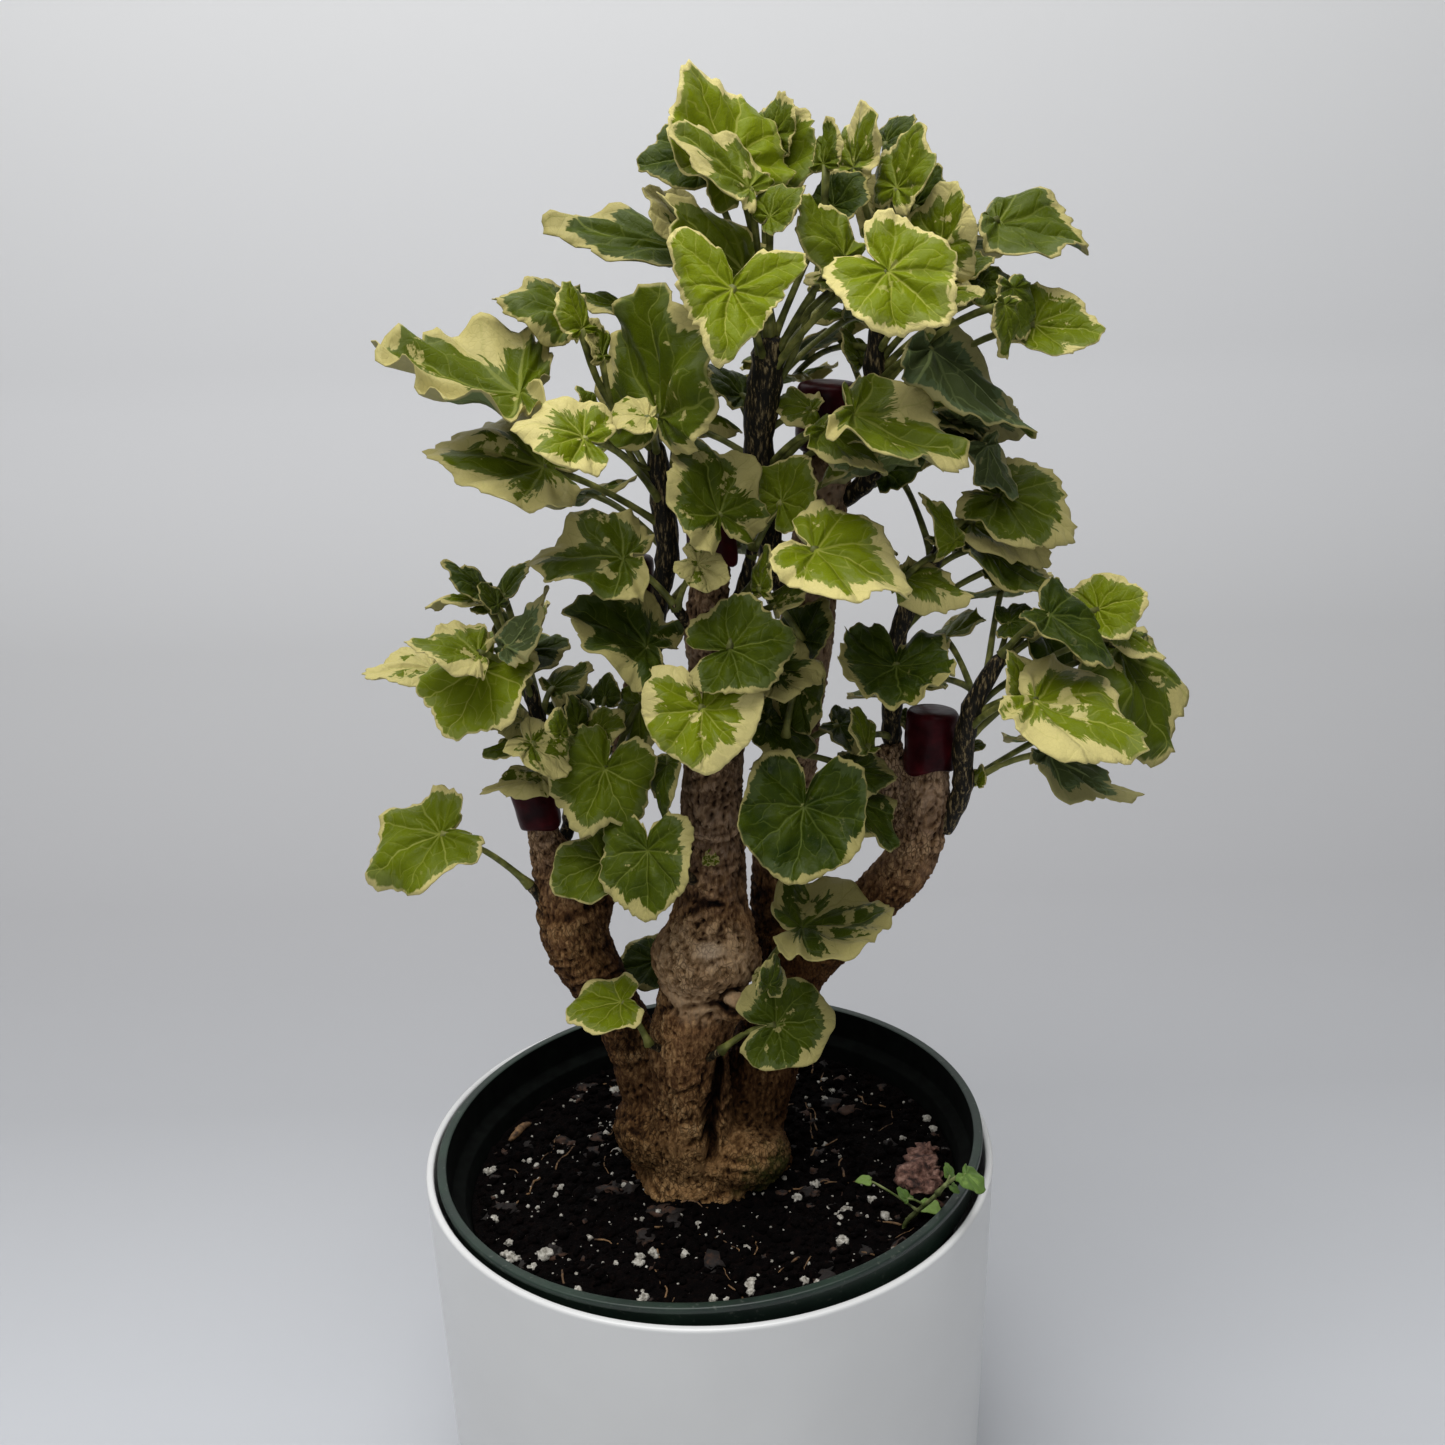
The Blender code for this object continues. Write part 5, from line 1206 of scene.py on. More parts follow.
class Crown:
    """Keeps what stands in each shoot, so that a new leaf can be bent clear of the others."""

    def __init__(self):
        self.forms = []
        self.roots = {}

    def add(self, node, kind, verts, faces):
        """Keeps a form as part of a node."""
        self.forms.append((node, kind) + measured(verts, faces))

    def crossings(self, node, kind, verts, faces):
        """How many things of other shoots it crosses, and how many blades of its own shoot."""
        centre, reach, tested = measured(verts, faces)
        other, own = 0, 0
        for there, what, middle, radius, known in self.forms:
            if there == node and not (what == "blade" and kind == "blade"):
                continue
            if (middle - centre).length <= radius + reach and known.overlap(tested):
                own += there == node
                other += there != node
        return other, own

    def settle(self, node, stem, leaf):
        """Tries a leaf in place, then nearer or farther, until it is clear."""
        place, tip, face, length, cup, width, back = leaf
        toward = seen_axes(place)[2]
        fallback = None
        for shift in SHIFTS:
            spot = place + toward * shift
            tested = blade(spot, tip, face, length, cup, width, back, BLADE_HALF + CLEAR)
            other, own = self.crossings(node, "blade", *tested)
            if other:
                continue
            for drop, lift in STALK_WAYS:
                root = stalk_root(stem, spot, drop, self.roots.get(node, []))
                fat = stalk(root, spot, face, lift, STALK_R + CLEAR)
                if self.crossings(node, "stalk", *fat)[0]:
                    continue
                choice = (spot, tip, face, length, cup, width, back, root, lift)
                if crosses_itself(*whole_leaf(*choice)):
                    continue
                if not own:
                    return choice
                fallback = fallback or choice
                break
        return fallback


def settle_leaves(stems):
    """Places every leaf, the front ones first, and keeps its share of cream and its tone."""
    crown = Crown()
    for path in CANES.values():
        radii = [p[3] + 0.3 for p in path]
        crown.add("trunk", "cane", *tube([p[:3] for p in path], radii, CANE_SIDES))
    for centre, radii, turn in KNOBS:
        crown.add("trunk", "cane", *ball(centre, radii, turn))
    for name, (cane, reach) in WAX_CAPS.items():
        end = Vector(CANES[cane][-1][:3])
        axis = (end - Vector(CANES[cane][-2][:3])).normalized()
        radius = CANES[cane][-1][3] + GAP + WAX_WALL
        ends = [end - axis * (reach + 2), end + axis * 1.8]
        crown.add(name, "cap", *tube(ends, [radius + 0.2] * 2, CANE_SIDES))
    for name, rows in SHOOTS.items():
        crown.add(name, "stem", *tube(stems[name], [p[3] + CLEAR for p in rows[0]], 6))
    chosen = {name: [] for name in SHOOTS}
    shade = random.Random(17)
    for front in (True, False):
        for name, rows in SHOOTS.items():
            if front:
                leaves = [(leaf_frame(row[:8]), row[8], row[9]) for row in rows[1]]
            else:
                leaves = [(leaf, shade.uniform(0.1, 0.4), shade.uniform(0.25, 0.7))
                          for leaf in back_leaves(name, stems[name])]
            for leaf, cream, tone in leaves:
                choice = crown.settle(name, stems[name], leaf)
                if choice is None:
                    continue
                *leaf, root, lift = choice
                crown.add(name, "blade", *blade(*leaf, BLADE_HALF))
                crown.add(name, "stalk", *stalk(root, leaf[0], leaf[2], lift, STALK_R))
                crown.roots.setdefault(name, []).append(root)
                chosen[name].append((choice, cream, tone))
    return chosen


VEIN_STEP = 0.725  # radians between the main veins that fan from the stalk
# Leaf colours, each from its darkest to its brightest tone. The tone is partly the leaf's own green
# and partly painted light and shade.
LEAF_SKINS = {
    "leaf_top": {"green": ("#1B2B04", "#75820C"), "pale": ("#988F57", "#D8CB86"),
                 "middle": ("#39472A", "#828B3C"), "vein": ("#4B5A22", "#A8A94A"),
                 "gloss": (0.32, 0.48), "bump": 0.6, "specular": 0.10},
    "leaf_under": {"green": ("#2F3A1D", "#717C48"), "pale": ("#8A8453", "#BDB582"),
                   "middle": ("#47563A", "#8A9A68"), "vein": ("#6B7848", "#A6B070"),
                   "gloss": (0.5, 0.62), "bump": -0.5, "specular": 0.08},
}  # each colour from its darkest to its brightest tone


def leaf_material(name):
    """A leaf's skin: waxy and softly shining above, matt and paler below, deep green that breaks
    into grey green and cream towards the rim, with pale veins. The mesh carries its flat
    coordinates in leaf lengths and its number, then how near the margin a point is, its cream
    and its tone. Patterns are scaled in leaf lengths, so that a small leaf has them smaller."""
    looks = LEAF_SKINS[name]
    material, tree, shader, _ = new_material(name)
    flat = add(tree, "Attribute", attribute_name="flat").outputs["Vector"]
    marks = add(tree, "Attribute", attribute_name="marks").outputs["Vector"]
    x, y, number = add(tree, "SeparateXYZ", flat).outputs
    near, cream, tone = add(tree, "SeparateXYZ", marks).outputs

    # Where a point lies round and out from the stalk, and beside and along its nearest main vein
    squares = [add(tree, "Math", axis, axis, operation="MULTIPLY") for axis in (x, y)]
    reach = add(tree, "Math", add(tree, "Math", *squares, operation="ADD"), operation="SQRT")
    turn = add(tree, "Math", x, y, operation="ARCTAN2")
    bend = add(tree, "TexNoise", flat, Scale=2.2, Detail=2.0, Roughness=0.5)
    bend = add(tree, "Math", bend, 0.5, operation="SUBTRACT")
    bend = add(tree, "Math", bend, 0.5, operation="MULTIPLY")
    bent = add(tree, "Math", turn, bend, operation="ADD")
    off = add(tree, "Math", bent, VEIN_STEP / 2, operation="PINGPONG")
    shares = [add(tree, "Math", off, operation=kind) for kind in ("SINE", "COSINE")]
    beside, along = [add(tree, "Math", reach, share, operation="MULTIPLY") for share in shares]

    # Main veins, thinner towards the rim, with slanting side veins between them
    half = add(tree, "MapRange", reach, 0.0, 1.0, 0.012, 0.0035)
    main = add(tree, "Math", beside, half, operation="DIVIDE")
    main = add(tree, "MapRange", main, 0.6, 1.5, 0.0, 1.0, interpolation_type="SMOOTHSTEP")
    main = add(tree, "Math", 1.0, main, operation="SUBTRACT")
    slant = add(tree, "Math", along, add(tree, "Math", beside, 0.9, operation="MULTIPLY"),
                operation="SUBTRACT")
    sway = add(tree, "TexNoise", flat, Scale=3.5, Detail=2.0, Roughness=0.5)
    sway = add(tree, "Math", sway, 0.5, operation="SUBTRACT")
    sway = add(tree, "Math", sway, 0.22, operation="MULTIPLY")
    slant = add(tree, "Math", slant, sway, operation="ADD")
    rung = add(tree, "Math", slant, 0.105, operation="PINGPONG")
    side = add(tree, "MapRange", rung, 0.004, 0.011, 0.0, 1.0, interpolation_type="SMOOTHSTEP")
    side = add(tree, "Math", 1.0, side, operation="SUBTRACT")
    beyond = add(tree, "MapRange", reach, 0.12, 0.25, 0.0, 1.0, interpolation_type="SMOOTHSTEP")
    side = add(tree, "Math", side, beyond, operation="MULTIPLY")
    side = add(tree, "Math", side, add(tree, "Math", 1.0, main, operation="SUBTRACT"),
               operation="MULTIPLY")

    # Each main vein has its own strength, and those that run backward are faint
    which = add(tree, "Math", bent, VEIN_STEP, operation="DIVIDE")
    which = add(tree, "Math", which, operation="ROUND")
    which = add(tree, "Math", which, add(tree, "Math", number, 9.0, operation="MULTIPLY"),
                operation="ADD")
    chance = add(tree, "TexWhiteNoise", which, noise_dimensions="1D")
    chance = add(tree, "MapRange", chance, 0.0, 1.0, 0.35, 1.0)
    swing = add(tree, "Math", turn, operation="ABSOLUTE")
    backward = add(tree, "MapRange", swing, 1.7, 2.5, 1.0, 0.25, interpolation_type="SMOOTHSTEP")
    backward = add(tree, "Math", backward, chance, operation="MULTIPLY")
    midrib = add(tree, "MapRange", swing, 0.25, 0.4, 1.0, 0.0, interpolation_type="SMOOTHSTEP")
    backward = add(tree, "Math", backward, midrib, operation="MAXIMUM")
    net = add(tree, "TexVoronoi", flat, feature="DISTANCE_TO_EDGE", Scale=24.0)
    net = add(tree, "MapRange", net, 0.02, 0.09, 0.0, 1.0, interpolation_type="SMOOTHSTEP")
    net = add(tree, "Math", 1.0, net, operation="SUBTRACT")

    # How deep the cream reaches in from the margin, by sector, flame-edged along the veins
    round_leaf = [add(tree, "Math", turn, operation=kind) for kind in ("SINE", "COSINE")]
    unit = add(tree, "CombineXYZ", *round_leaf, number)
    sector = add(tree, "TexNoise", unit, Scale=1.25, Detail=1.0, Roughness=0.5)
    flame = add(tree, "CombineXYZ", add(tree, "Math", bent, 5.5, operation="MULTIPLY"),
                add(tree, "Math", reach, 1.6, operation="MULTIPLY"), number)
    jag = add(tree, "TexNoise", flame, Scale=1.6, Detail=4.0, Roughness=0.62)
    jag = add(tree, "Math", jag, 0.5, operation="SUBTRACT")
    deep = add(tree, "Math", cream, add(tree, "MapRange", sector, 0.38, 0.68, 0.0, 1.35),
               operation="MULTIPLY")
    ragged = add(tree, "Math", deep, 2.3, operation="MULTIPLY")
    ragged = add(tree, "Math", jag, add(tree, "Math", ragged, 0.05, operation="ADD"),
                 operation="MULTIPLY")
    deep = add(tree, "Math", deep, ragged, operation="ADD")
    inward = add(tree, "Math", 1.0, near, operation="SUBTRACT")
    inward = add(tree, "Math", inward, add(tree, "Math", main, 0.03, operation="MULTIPLY"),
                 operation="SUBTRACT")
    lit = add(tree, "MapRange", add(tree, "Math", deep, inward, operation="SUBTRACT"),
              -0.012, 0.018, 0.0, 1.0, interpolation_type="SMOOTHSTEP")
    island = add(tree, "TexNoise", flat, Scale=3.6, Detail=5.0, Roughness=0.6)
    island = add(tree, "Math", island, add(tree, "Math", cream, 0.25, operation="MULTIPLY"),
                 operation="ADD")
    island = add(tree, "MapRange", island, 0.70, 0.73, 0.0, 1.0, interpolation_type="SMOOTHSTEP")
    enough = add(tree, "MapRange", cream, 0.1, 0.3, 0.0, 1.0, interpolation_type="SMOOTHSTEP")
    island = add(tree, "Math", island, enough, operation="MULTIPLY")
    lit = add(tree, "Math", lit, add(tree, "Math", island, 0.9, operation="MULTIPLY"),
              operation="MAXIMUM")

    # A grey green band between the cream and the green, broken into patches
    grey = add(tree, "Math", inward, add(tree, "Math", jag, -0.35, operation="MULTIPLY"),
               operation="ADD")
    grey = add(tree, "Math", add(tree, "Math", deep, 0.16, operation="ADD"), grey,
               operation="SUBTRACT")
    grey = add(tree, "MapRange", grey, -0.01, 0.05, 0.0, 1.0, interpolation_type="SMOOTHSTEP")
    patch = add(tree, "TexNoise", flat, Scale=2.4, Detail=4.0, Roughness=0.6)
    patch = add(tree, "MapRange", patch, 0.41, 0.53, 0.0, 1.0, interpolation_type="SMOOTHSTEP")
    grey = add(tree, "Math", grey, patch, operation="MULTIPLY")

    # The tone, given per leaf, picks each colour from its darkest to its brightest: partly the
    # leaf's own green and partly painted light and shade, brighter for leaves in the light.
    # Blotches vary it at random.
    blotch = add(tree, "TexNoise", flat, Scale=3.0, Detail=4.0, Roughness=0.55)
    blotch = add(tree, "Math", blotch, 0.5, operation="SUBTRACT")
    blotch = add(tree, "Math", blotch, 0.5, operation="MULTIPLY")
    lift = add(tree, "Math", tone, blotch, operation="ADD")
    skin = add(tree, "Mix", lift, *looks["green"], data_type="RGBA")
    pale, middle, vein = [add(tree, "Mix", tone, *looks[part], data_type="RGBA")
                          for part in ("pale", "middle", "vein")]
    grey = add(tree, "Math", grey, 0.75, operation="MULTIPLY")
    strong = add(tree, "Math", backward, 0.78, operation="MULTIPLY")
    veins = add(tree, "Math", add(tree, "Math", main, strong, operation="MULTIPLY"),
                add(tree, "Math", side, 0.36, operation="MULTIPLY"), operation="MAXIMUM")
    plain = add(tree, "Math", 1.0, add(tree, "Math", lit, 0.55, operation="MULTIPLY"),
                operation="SUBTRACT")
    veins = add(tree, "Math", veins, plain, operation="MULTIPLY")
    mesh = add(tree, "Math", net, 0.07, operation="MULTIPLY")
    edge = add(tree, "MapRange", near, 0.965, 0.99, 0.0, 1.0, interpolation_type="SMOOTHSTEP")
    worn = add(tree, "TexNoise", flat, Scale=5.0, Detail=2.0, Roughness=0.5)
    worn = add(tree, "MapRange", worn, 0.36, 0.56, 0.15, 0.75, interpolation_type="SMOOTHSTEP")
    edge = add(tree, "Math", edge, worn, operation="MULTIPLY")
    for share, shade in ((grey, middle), (lit, pale), (veins, vein), (mesh, middle), (edge, pale)):
        skin = add(tree, "Mix", share, skin, shade, data_type="RGBA")

    # The veins lie sunk in a softly puckered blade
    sunk = add(tree, "MapRange", beside, 0.0, 0.06, 0.0, 1.0, interpolation_type="SMOOTHSTEP")
    sunk = add(tree, "Math", sunk, 0.5, operation="MULTIPLY")
    rise = add(tree, "MapRange", rung, 0.0, 0.05, 0.0, 1.0, interpolation_type="SMOOTHSTEP")
    pucker = add(tree, "TexNoise", flat, Scale=5.0, Detail=3.0, Roughness=0.5)
    for form, share in ((rise, 0.16), (pucker, 0.9), (net, -0.06)):
        sunk = add(tree, "Math", sunk, add(tree, "Math", form, share, operation="MULTIPLY"),
                   operation="ADD")
    bump = add(tree, "Bump", Strength=0.9, Distance=looks["bump"] * MM, Height=sunk)
    gloss = add(tree, "TexNoise", flat, Scale=7.0, Detail=3.0, Roughness=0.5)
    gloss = add(tree, "MapRange", gloss, 0.3, 0.7, *looks["gloss"])
    feed(tree, shader, {"Base Color": skin, "Roughness": gloss, "Normal": bump, "IOR": 1.45,
                        "Specular IOR Level": looks["specular"]})
    return material


leaf_top = leaf_material("leaf_top")
leaf_under = leaf_material("leaf_under")

# Leaf stalks: round, olive green, streaked paler, smooth with a faint sheen
stalk_green, tree, shader, place = new_material("stalk_green")
streaks = add(tree, "TexNoise", place, Scale=per(50 / 11), Detail=3.0)
tint = add(tree, "ValToRGB", streaks, stops=[(0.3, "#3A3C17"), (0.5, "#646830"), (0.72, "#9A9852")])
feed(tree, shader, {"Base Color": tint, "Roughness": 0.5, "Specular IOR Level": 0.25})

# Young stems: dark green bark with pale tan cracks along it, as fine as 0.8 by 4 mm
stem_bark, tree, shader, place = new_material("stem_bark")
stretch = add(tree, "Mapping", place, Scale=(per(0.8), per(0.8), per(25 / 6)))
streaks = add(tree, "TexNoise", stretch, Scale=1.0, Detail=5.0, Roughness=0.7)
tint = add(tree, "ValToRGB", streaks, stops=[(0.42, "#0F0D08"), (0.52, "#201B10"),
                                             (0.57, "#5C4E33"), (0.68, "#A39068")])
bump = add(tree, "Bump", Strength=0.8, Distance=0.3 * MM, Height=streaks)
feed(tree, shader, {"Base Color": tint, "Roughness": 0.6, "Normal": bump,
                    "Specular IOR Level": 0.2})

EDGE_TURNS = [0, 32, 64, 96, 125, 152, 168, 180]
EDGE_REACH = [1.0, 0.93, 1.0, 0.90, 0.93, 0.78, 0.48, 0.16]
HEART = [0.90, 0.83, 0.88, 0.98, 0.94, 0.68, 0.44, 0.2]
THREE_LOBED = [1.02, 0.74, 0.62, 0.78, 1.08, 0.62, 0.24, 0.14]
RING_SHARES = [0.08, 0.2, 0.32, 0.44, 0.56, 0.68, 0.79, 0.88, 0.95, 1.0]
TOOTH = (0.028, 0.004, -0.024, -0.012, 0.015)
PLAIN_EDGE = 0.5  # leaves with teeth weaker than this have weaker lobes too


def edge_reach(turn, lobes, notch, reaches):
    """How far the margin is from the stalk, at a turn from the tip in degrees. Lobes hold how much
    each dip and each bulge of this leaf differs, the right side first. Notch widens the gap behind
    the stalk."""
    number = 0 if turn > 0 else len(EDGE_TURNS)
    turn = abs(turn)
    if turn > 180 - 55 * notch:
        turn = 180 - (180 - turn) / notch
    else:
        turn = turn * 125 / (180 - 55 * notch)
    for k in range(len(EDGE_TURNS) - 1):
        if turn <= EDGE_TURNS[k + 1]:
            share = (turn - EDGE_TURNS[k]) / (EDGE_TURNS[k + 1] - EDGE_TURNS[k])
            share = share * share * (3 - 2 * share)
            low = reaches[k] + (lobes[number + k] if k else lobes[0])
            return low * (1 - share) + (reaches[k + 1] + lobes[number + k + 1]) * share
    return reaches[-1]


class Growth:
    """Gathers the skins of one shoot: points, faces, and what its materials read from them."""

    def __init__(self):
        self.verts, self.faces, self.slots, self.flat, self.marks = [], [], [], [], []

    def take(self, verts, faces, slots, flat=None, marks=None):
        """Adds one more skin to the piece."""
        join(self.verts, self.faces, (verts, faces))
        self.slots += slots
        self.flat += flat or [(0, 0, 0)] * len(verts)
        self.marks += marks or [(0, 0, 0)] * len(verts)

    def leaf(self, number, choice, cream, tone, reaches=EDGE_REACH, jagged=1.0, ruffled=0.0):
        """A thin closed blade with a toothed, lobed and waved margin, puckered between its veins,
        and its stalk."""
        spot, tip, face, length, cup, width, back, root, lift = choice
        draw = random.Random(number * 7 + 1)
        count = 112 if length > 17 else 76 if length > 9 else 44
        phase, swing = draw.uniform(0, 6.28), draw.uniform(0.7, 1.5)
        curl, where = draw.uniform(0.05, 0.38), draw.uniform(-2.6, 2.6)
        fold = draw.uniform(0.0, 0.10)
        notch = 1.0 if reaches is THREE_LOBED else draw.uniform(0.7, 1.3)
        side = tip.cross(face).normalized()
        lobes = [draw.uniform(-0.12, -0.02) if k % 8 in (1, 3) else draw.uniform(-0.04, 0.03)
                 for k in range(16)]
        lobes[7] = lobes[15] = 0
        if jagged <= PLAIN_EDGE:
            lobes, curl = [0.3 * lobe for lobe in lobes], 0.4 * curl
        teeth = [draw.uniform(-1, 1) for _ in range(count)]
        margin = []
        for i in range(count):
            turn = -180 + 360 * (i + 0.5) / count
            tooth = TOOTH[i % 4 + draw.choice((0, 0, 1))] + 0.014 * teeth[i]
            plain = edge_reach(turn, lobes, notch, reaches)
            margin.append((math.radians(turn), plain + tooth * jagged))
        top, flat, marks = [spot], [(0, 0, number)], [(0, cream, tone)]
        for share in RING_SHARES:
            for turn, reach in margin:
                if share < 0.9:
                    reach = edge_reach(math.degrees(turn), lobes, notch, reaches)
                x, y = math.sin(turn) * reach * share * width, math.cos(turn) * reach * share
                y *= back if y < 0 else 1
                ahead, rim = max(y, 0) ** 2, max(0.0, share - 0.55) ** 2
                rise = cup * (0.55 * x * x + 0.25 * ahead) - 0.06 * ahead
                pucker = 0.5 - 0.5 * math.cos(2 * math.pi * turn / VEIN_STEP)
                rise += 0.05 * pucker * math.sin(math.pi * min(share * 0.9, 1))
                rise += 0.08 * noise.noise(Vector((x * 2.2, y * 2.2, number * 1.7)))
                rise += 0.02 * noise.noise(Vector((x * 8, y * 8, number * 1.7)))
                rise += fold * abs(x) * min(reach, 1)
                wave = math.sin(3.1 * turn + phase) + 0.7 * math.sin(7.3 * turn + 2 * phase)
                rise += (0.05 if length > 19 else 0.036) * swing * wave * share ** 3
                rise += 0.02 * swing * math.sin(14 * turn + phase) * share ** 6 * jagged
                rise += ruffled * (0.5 * rim + 0.055 * math.sin(15 * turn + phase) * share ** 4)
                rise -= curl * max(0.0, math.cos(turn - where)) ** 2 * rim * 4.0
                across = side * (x * math.cos(1.6 * cup * x))
                top.append(spot + (across + tip * y + face * rise) * length)
                flat.append((x, y, number))
                marks.append((share, cream, tone))
        half = 0.27 if length > 9 else 0.2
        n, outer = len(top), 1 + (len(RING_SHARES) - 1) * count
        low = [point - face * half * (2 if k < outer else 1.2) for k, point in enumerate(top)]
        faces, slots = [], []
        for i in range(count):
            j = (i + 1) % count
            faces += [(0, 1 + j, 1 + i), (n, n + 1 + i, n + 1 + j)]
            for a in range(1, outer, count):
                b = a + count
                faces.append((a + i, a + j, b + j, b + i))
                faces.append((n + a + i, n + b + i, n + b + j, n + a + j))
            faces.append((outer + i, outer + j, n + outer + j, n + outer + i))
            slots += [0, 1] * len(RING_SHARES) + [0]
        self.take(top + low, faces, slots, flat + flat, marks + marks)
        thick = min(STALK_R, 0.09 * length)
        path, _ = stalk_path(root, spot, face, lift, 10)
        path[0] = path[0] - face * 0.3
        radii = [thick * (0.92 + 0.05 * math.sin(k) if k else 1.1) for k in range(len(path))]
        radii[-2:] = [thick * 1.15, thick * 1.75]
        verts, faces = tube(path, radii, 9)
        self.take(verts, faces, [2] * len(faces))

    def stem(self, path, radii):
        """The shoot's stem, a little uneven, swollen where leaves grew, and narrowed at its tip."""
        run = smooth_run([tuple(p) + (r,) for p, r in zip(path, radii)], 6)
        radii = [p[3] * (1 + 0.07 * math.sin(k * 1.9) + (0.10 if k % 5 == 2 else 0))
                 for k, p in enumerate(run)]
        radii[-1] *= 0.55
        verts, faces = tube([p[:3] for p in run], radii, 14)
        self.take(verts, faces, [3] * len(faces))

    def piece(self, name, materials):
        """The finished object, with what its materials read from each point."""
        thing = mesh_object(name, self.verts, self.faces, materials, self.slots)
        for kind, values in (("flat", self.flat), ("marks", self.marks)):
            kept = thing.data.attributes.new(kind, "FLOAT_VECTOR", "POINT")
            kept.data.foreach_set("vector", [c for value in values for c in value])
        return thing


LEAFY_SKINS = [leaf_top, leaf_under, stalk_green, stem_bark]
# Leaves unlike the rest, by shoot and number: other outlines, weaker teeth, and frilled rims
OUTLINES = {("shoot_top", 10): THREE_LOBED, ("sprout_centre_front", 1): HEART}
TEETH = 0.85
SMOOTH_EDGED = {
    ("sprout_centre_front", 1): 0.25, ("sprout_centre_right", 2): 0.45,
    ("sprout_centre_right", 0): 0.45, ("stalk_right_low", 0): 0.35, ("stalk_left_near", 0): 0.4,
    ("stalk_left_behind", 0): 0.5, ("stalk_left_low", 0): 0.5, ("stalk_front_low", 0): 0.35,
}
RUFFLED = {("shoot_upper_left", 4): 1.0, ("shoot_upper_left", 7): 0.4, ("shoot_mid_right", 1): 1.2,
           ("sprout_centre_right", 2): 0.7, ("stalk_right_low", 0): 0.5}
stems = {name: [seen(*p[:3]) for p in rows[0]] for name, rows in SHOOTS.items()}
settled = settle_leaves(stems)
seedling_leaves = settled.pop("weed_seedling")
number = 0
for name, leaves in settled.items():
    growth = Growth()
    growth.stem(stems[name], [p[3] for p in SHOOTS[name][0]])
    for k, (choice, cream, tone) in enumerate(leaves):
        number += 1
        leaf = (name, k)
        growth.leaf(number, choice, cream, tone, OUTLINES.get(leaf, EDGE_REACH),
                    SMOOTH_EDGED.get(leaf, TEETH), RUFFLED.get(leaf, 0.0))
    shoot = growth.piece(name + "_leaves", LEAFY_SKINS)
    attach(shoot, "root")
    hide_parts(name)

# Small sprouts: two buds of three tiny pale leaves that break from the old bark of the trunk. Each
# is given by its name, its x, z and front as seen, its leaf length and its share of cream.
SMALL_SPROUTS = [("burl_sprout", 16.5, 176.0, 17.0, 2.4, 0.95),
                 ("cane_sprout", 3.0, 214.0, 14.5, 2.4, 0.5)]
for k, (name, x, z, front, length, cream) in enumerate(SMALL_SPROUTS):
    growth = Growth()
    spot = seen(x, z, front)
    right, up, toward = seen_axes(spot)
    for turn in (-125, 0, 120):
        aim = math.radians(turn)
        tip = (right * math.sin(aim) + up * math.cos(aim)).normalized()
        choice = (spot + tip * 0.4, tip, toward, length, 0.5, 0.9, 0.6, spot - toward * 4, 0.0)
        growth.leaf(800 + 4 * k + turn, choice, cream, 0.6, jagged=0.6)
    sprout = growth.piece(name, LEAFY_SKINS)
    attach(sprout, "root")

# Weed seedling: a small soft plant that came up by itself in the soil at the front right. It has
# thin pale stems and fresh green, nearly plain-edged leaves, and is rooted in the peat.

# Seedling leaf: tender fresh green, softly mottled, with a dull sheen
seedling_green, tree, shader, place = new_material("seedling_green")
marks = add(tree, "Attribute", attribute_name="marks").outputs["Vector"]
tone = add(tree, "SeparateXYZ", marks).outputs["Z"]
fresh = add(tree, "TexNoise", place, Scale=per(3.125), Detail=3.0)
# The tone of each seedling leaf, partly its own green and partly painted light and shade, brightens
# or darkens its green.
both = add(tree, "Math", fresh, 0.45, tone, operation="MULTIPLY_ADD")
tint = add(tree, "ValToRGB", both, stops=[(0.6, "#33481A"), (0.95, "#587332"), (1.0, "#728C45")])
bump = add(tree, "Bump", Strength=0.5, Distance=0.3 * MM, Height=fresh)
feed(tree, shader, {"Base Color": tint, "Roughness": 0.5, "Normal": bump,
                    "Specular IOR Level": 0.2})

# Seedling stem: the same plant paler and yellower, watery and smooth
seedling_stalk, tree, shader, place = new_material("seedling_stalk")
streaks = add(tree, "TexNoise", place, Scale=per(50 / 13), Detail=2.0)
tint = add(tree, "ValToRGB", streaks, stops=[(0.35, "#4C5A2A"), (0.65, "#8C9460")])
feed(tree, shader, {"Base Color": tint, "Roughness": 0.5, "Specular IOR Level": 0.2})

growth = Growth()
growth.stem(stems["weed_seedling"], [0.75 * p[3] for p in SHOOTS["weed_seedling"][0]])
for k, (choice, cream, tone) in enumerate(seedling_leaves):
    growth.leaf(900 + k, choice, cream, tone, jagged=0.35)
seedling = growth.piece("weed_seedling_plant", [seedling_green] * 2 + [seedling_stalk] * 2)
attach(seedling, "root")
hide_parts("weed_seedling")

# Floor and light, which aren't part of the object: a pale grey sweep under and behind the pot, a
# large soft light above, and a weak one in front.
FLOOR_FRONT, FLOOR_BACK, FLOOR_HALF = -1500, 350, 1800
SWEEP_R = 320
WALL_TOP = 1800
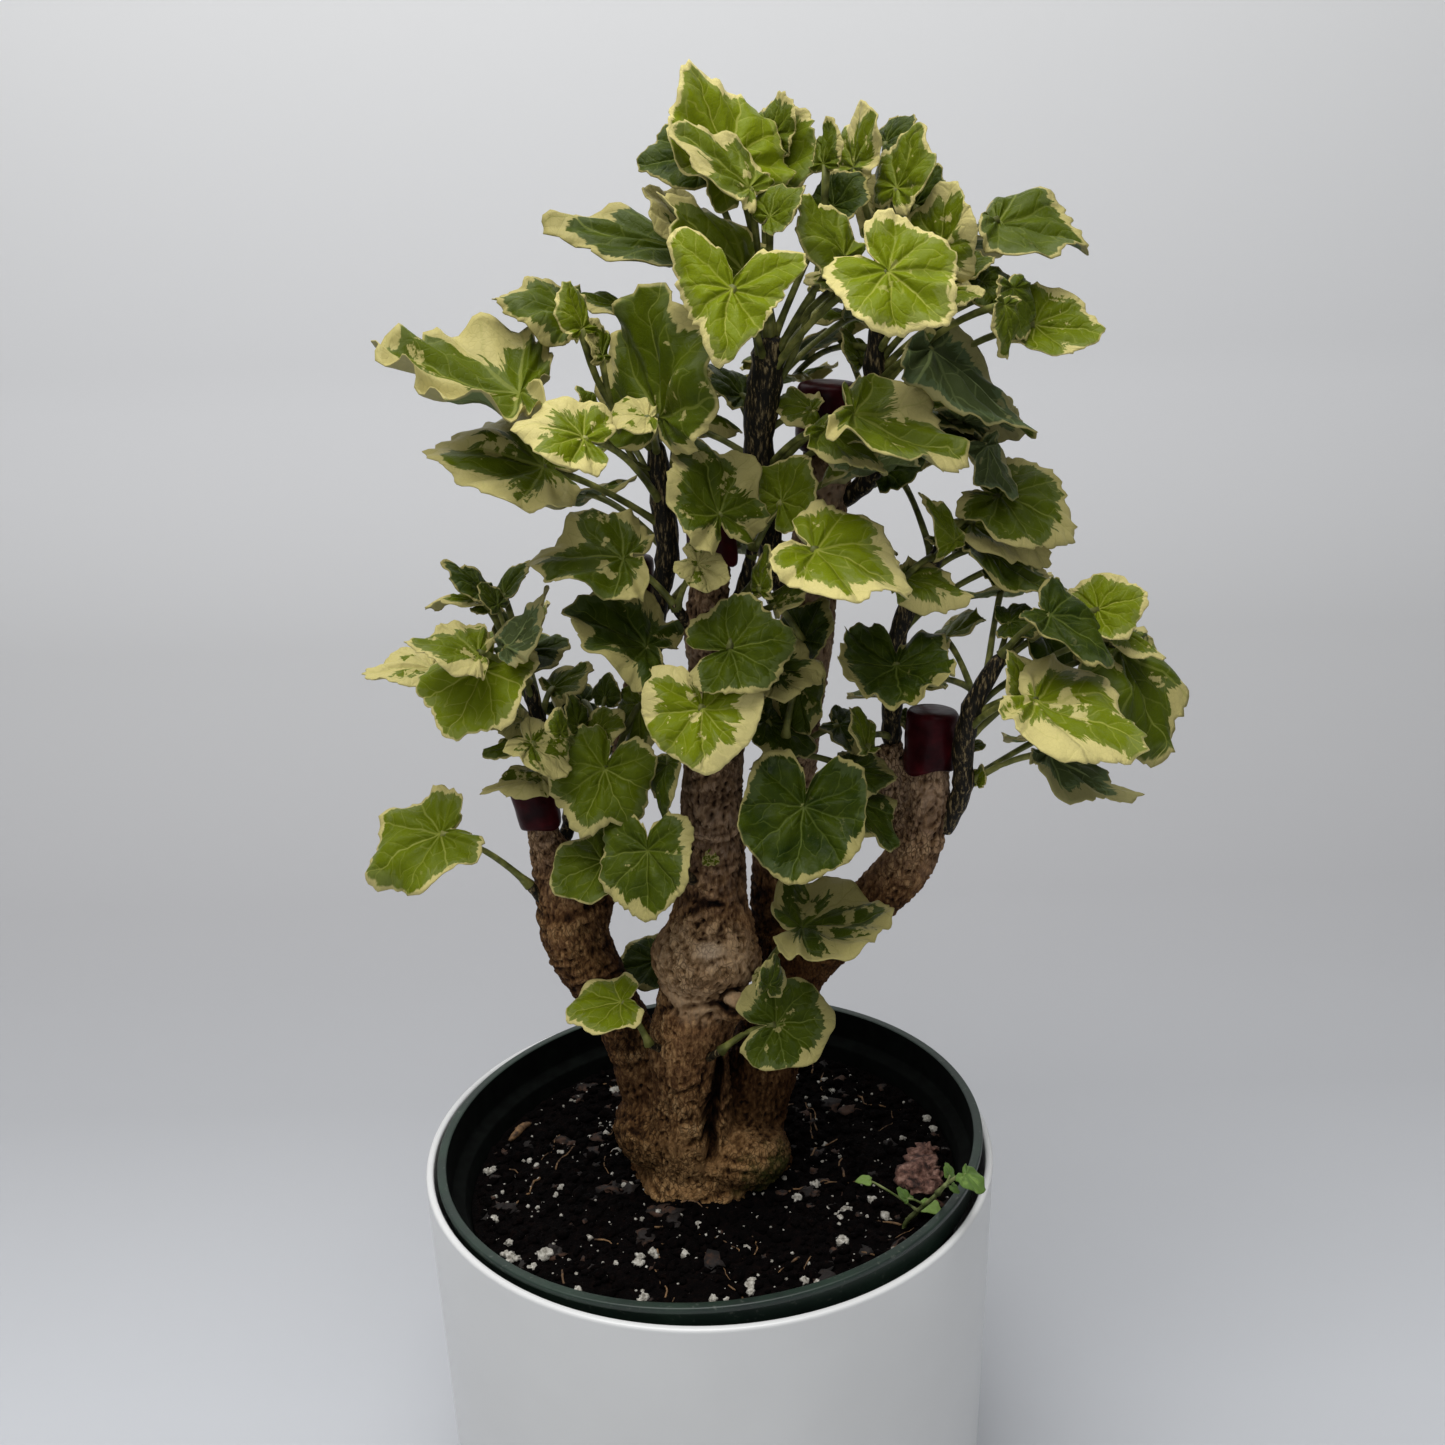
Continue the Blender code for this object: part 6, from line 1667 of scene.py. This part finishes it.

# Backdrop paper: matt pale grey with painted shade, darkest on the floor behind the pot where it
# turns up, and brighter with painted light up the wall, with a grain almost too fine to see
backdrop_paper, tree, shader, place = new_material("backdrop_paper")
_, y, z = add(tree, "SeparateXYZ", place).outputs
run = add(tree, "Math", y, z, operation="ADD")
fade = add(tree, "MapRange", run, 0.0, 1.3, 0.0, 1.0)
tint = add(tree, "ValToRGB", fade, stops=[
    (0.02, "#C0C2C6"), (0.17, "#ADAEB1"), (0.34, "#AEAEB0"), (0.565, "#BFBFC0"),
    (0.736, "#DDDDDE"), (0.925, "#E2E2E2"),
])
paper = add(tree, "TexNoise", place, Scale=per(10 / 3), Detail=2.0)
bump = add(tree, "Bump", Strength=0.05, Distance=0.2 * MM, Height=paper)
feed(tree, shader, {"Base Color": tint, "Roughness": 0.9, "Normal": bump,
                    "Specular IOR Level": 0.1})

sweep = [(FLOOR_FRONT, 0), (FLOOR_BACK, 0)]
for turn in range(6, 91, 6):
    out, up = math.sin(math.radians(turn)), 1 - math.cos(math.radians(turn))
    sweep.append((FLOOR_BACK + SWEEP_R * out, SWEEP_R * up))
sweep.append((FLOOR_BACK + SWEEP_R, WALL_TOP))
verts = [(x, y, z) for y, z in sweep for x in (-FLOOR_HALF, FLOOR_HALF)]
faces = [(2 * k, 2 * k + 1, 2 * k + 3, 2 * k + 2) for k in range(len(sweep) - 1)]
floor = mesh_object("floor_sweep", verts, faces, [backdrop_paper])

scene = bpy.context.scene
scene.view_settings.view_transform = "Standard"
scene.world = bpy.data.worlds.new("studio_air")
scene.world.use_nodes = True
air = scene.world.node_tree
feed(air, air.nodes["Background"], {"Color": "#E9ECEF", "Strength": 0.30})

for name, stand, aim, size, power in (
        ("overhead_softbox", (-0.15, -0.25, 1.45), (0, 0.05, 0.25), 1.1, 20.0),
        ("front_fill", (-0.45, -1.5, 0.8), (0, 0, 0.25), 1.2, 1.9)):
    light = bpy.data.lights.new(name, "AREA")
    light.shape = "SQUARE"
    light.size = size
    light.energy = power
    lamp = bpy.data.objects.new(name, light)
    lamp.location = stand
    lamp.rotation_euler = (Vector(aim) - Vector(stand)).to_track_quat("-Z", "Y").to_euler()
    scene.collection.objects.link(lamp)

CAMERA_DOWN = math.radians(17.2)
CAMERA_ROLL = math.radians(-1.6)
eye = bpy.data.cameras.new("eye")
eye.lens = 36.12
eye.sensor_width = 36.0
eye.clip_start = 0.01
camera = bpy.data.objects.new("camera", eye)
camera.matrix_world = (Matrix.Translation(EYE * MM)
                       @ Matrix.Rotation(math.radians(90) - CAMERA_DOWN, 4, "X")
                       @ Matrix.Rotation(CAMERA_ROLL, 4, "Z"))
scene.collection.objects.link(camera)
scene.camera = camera
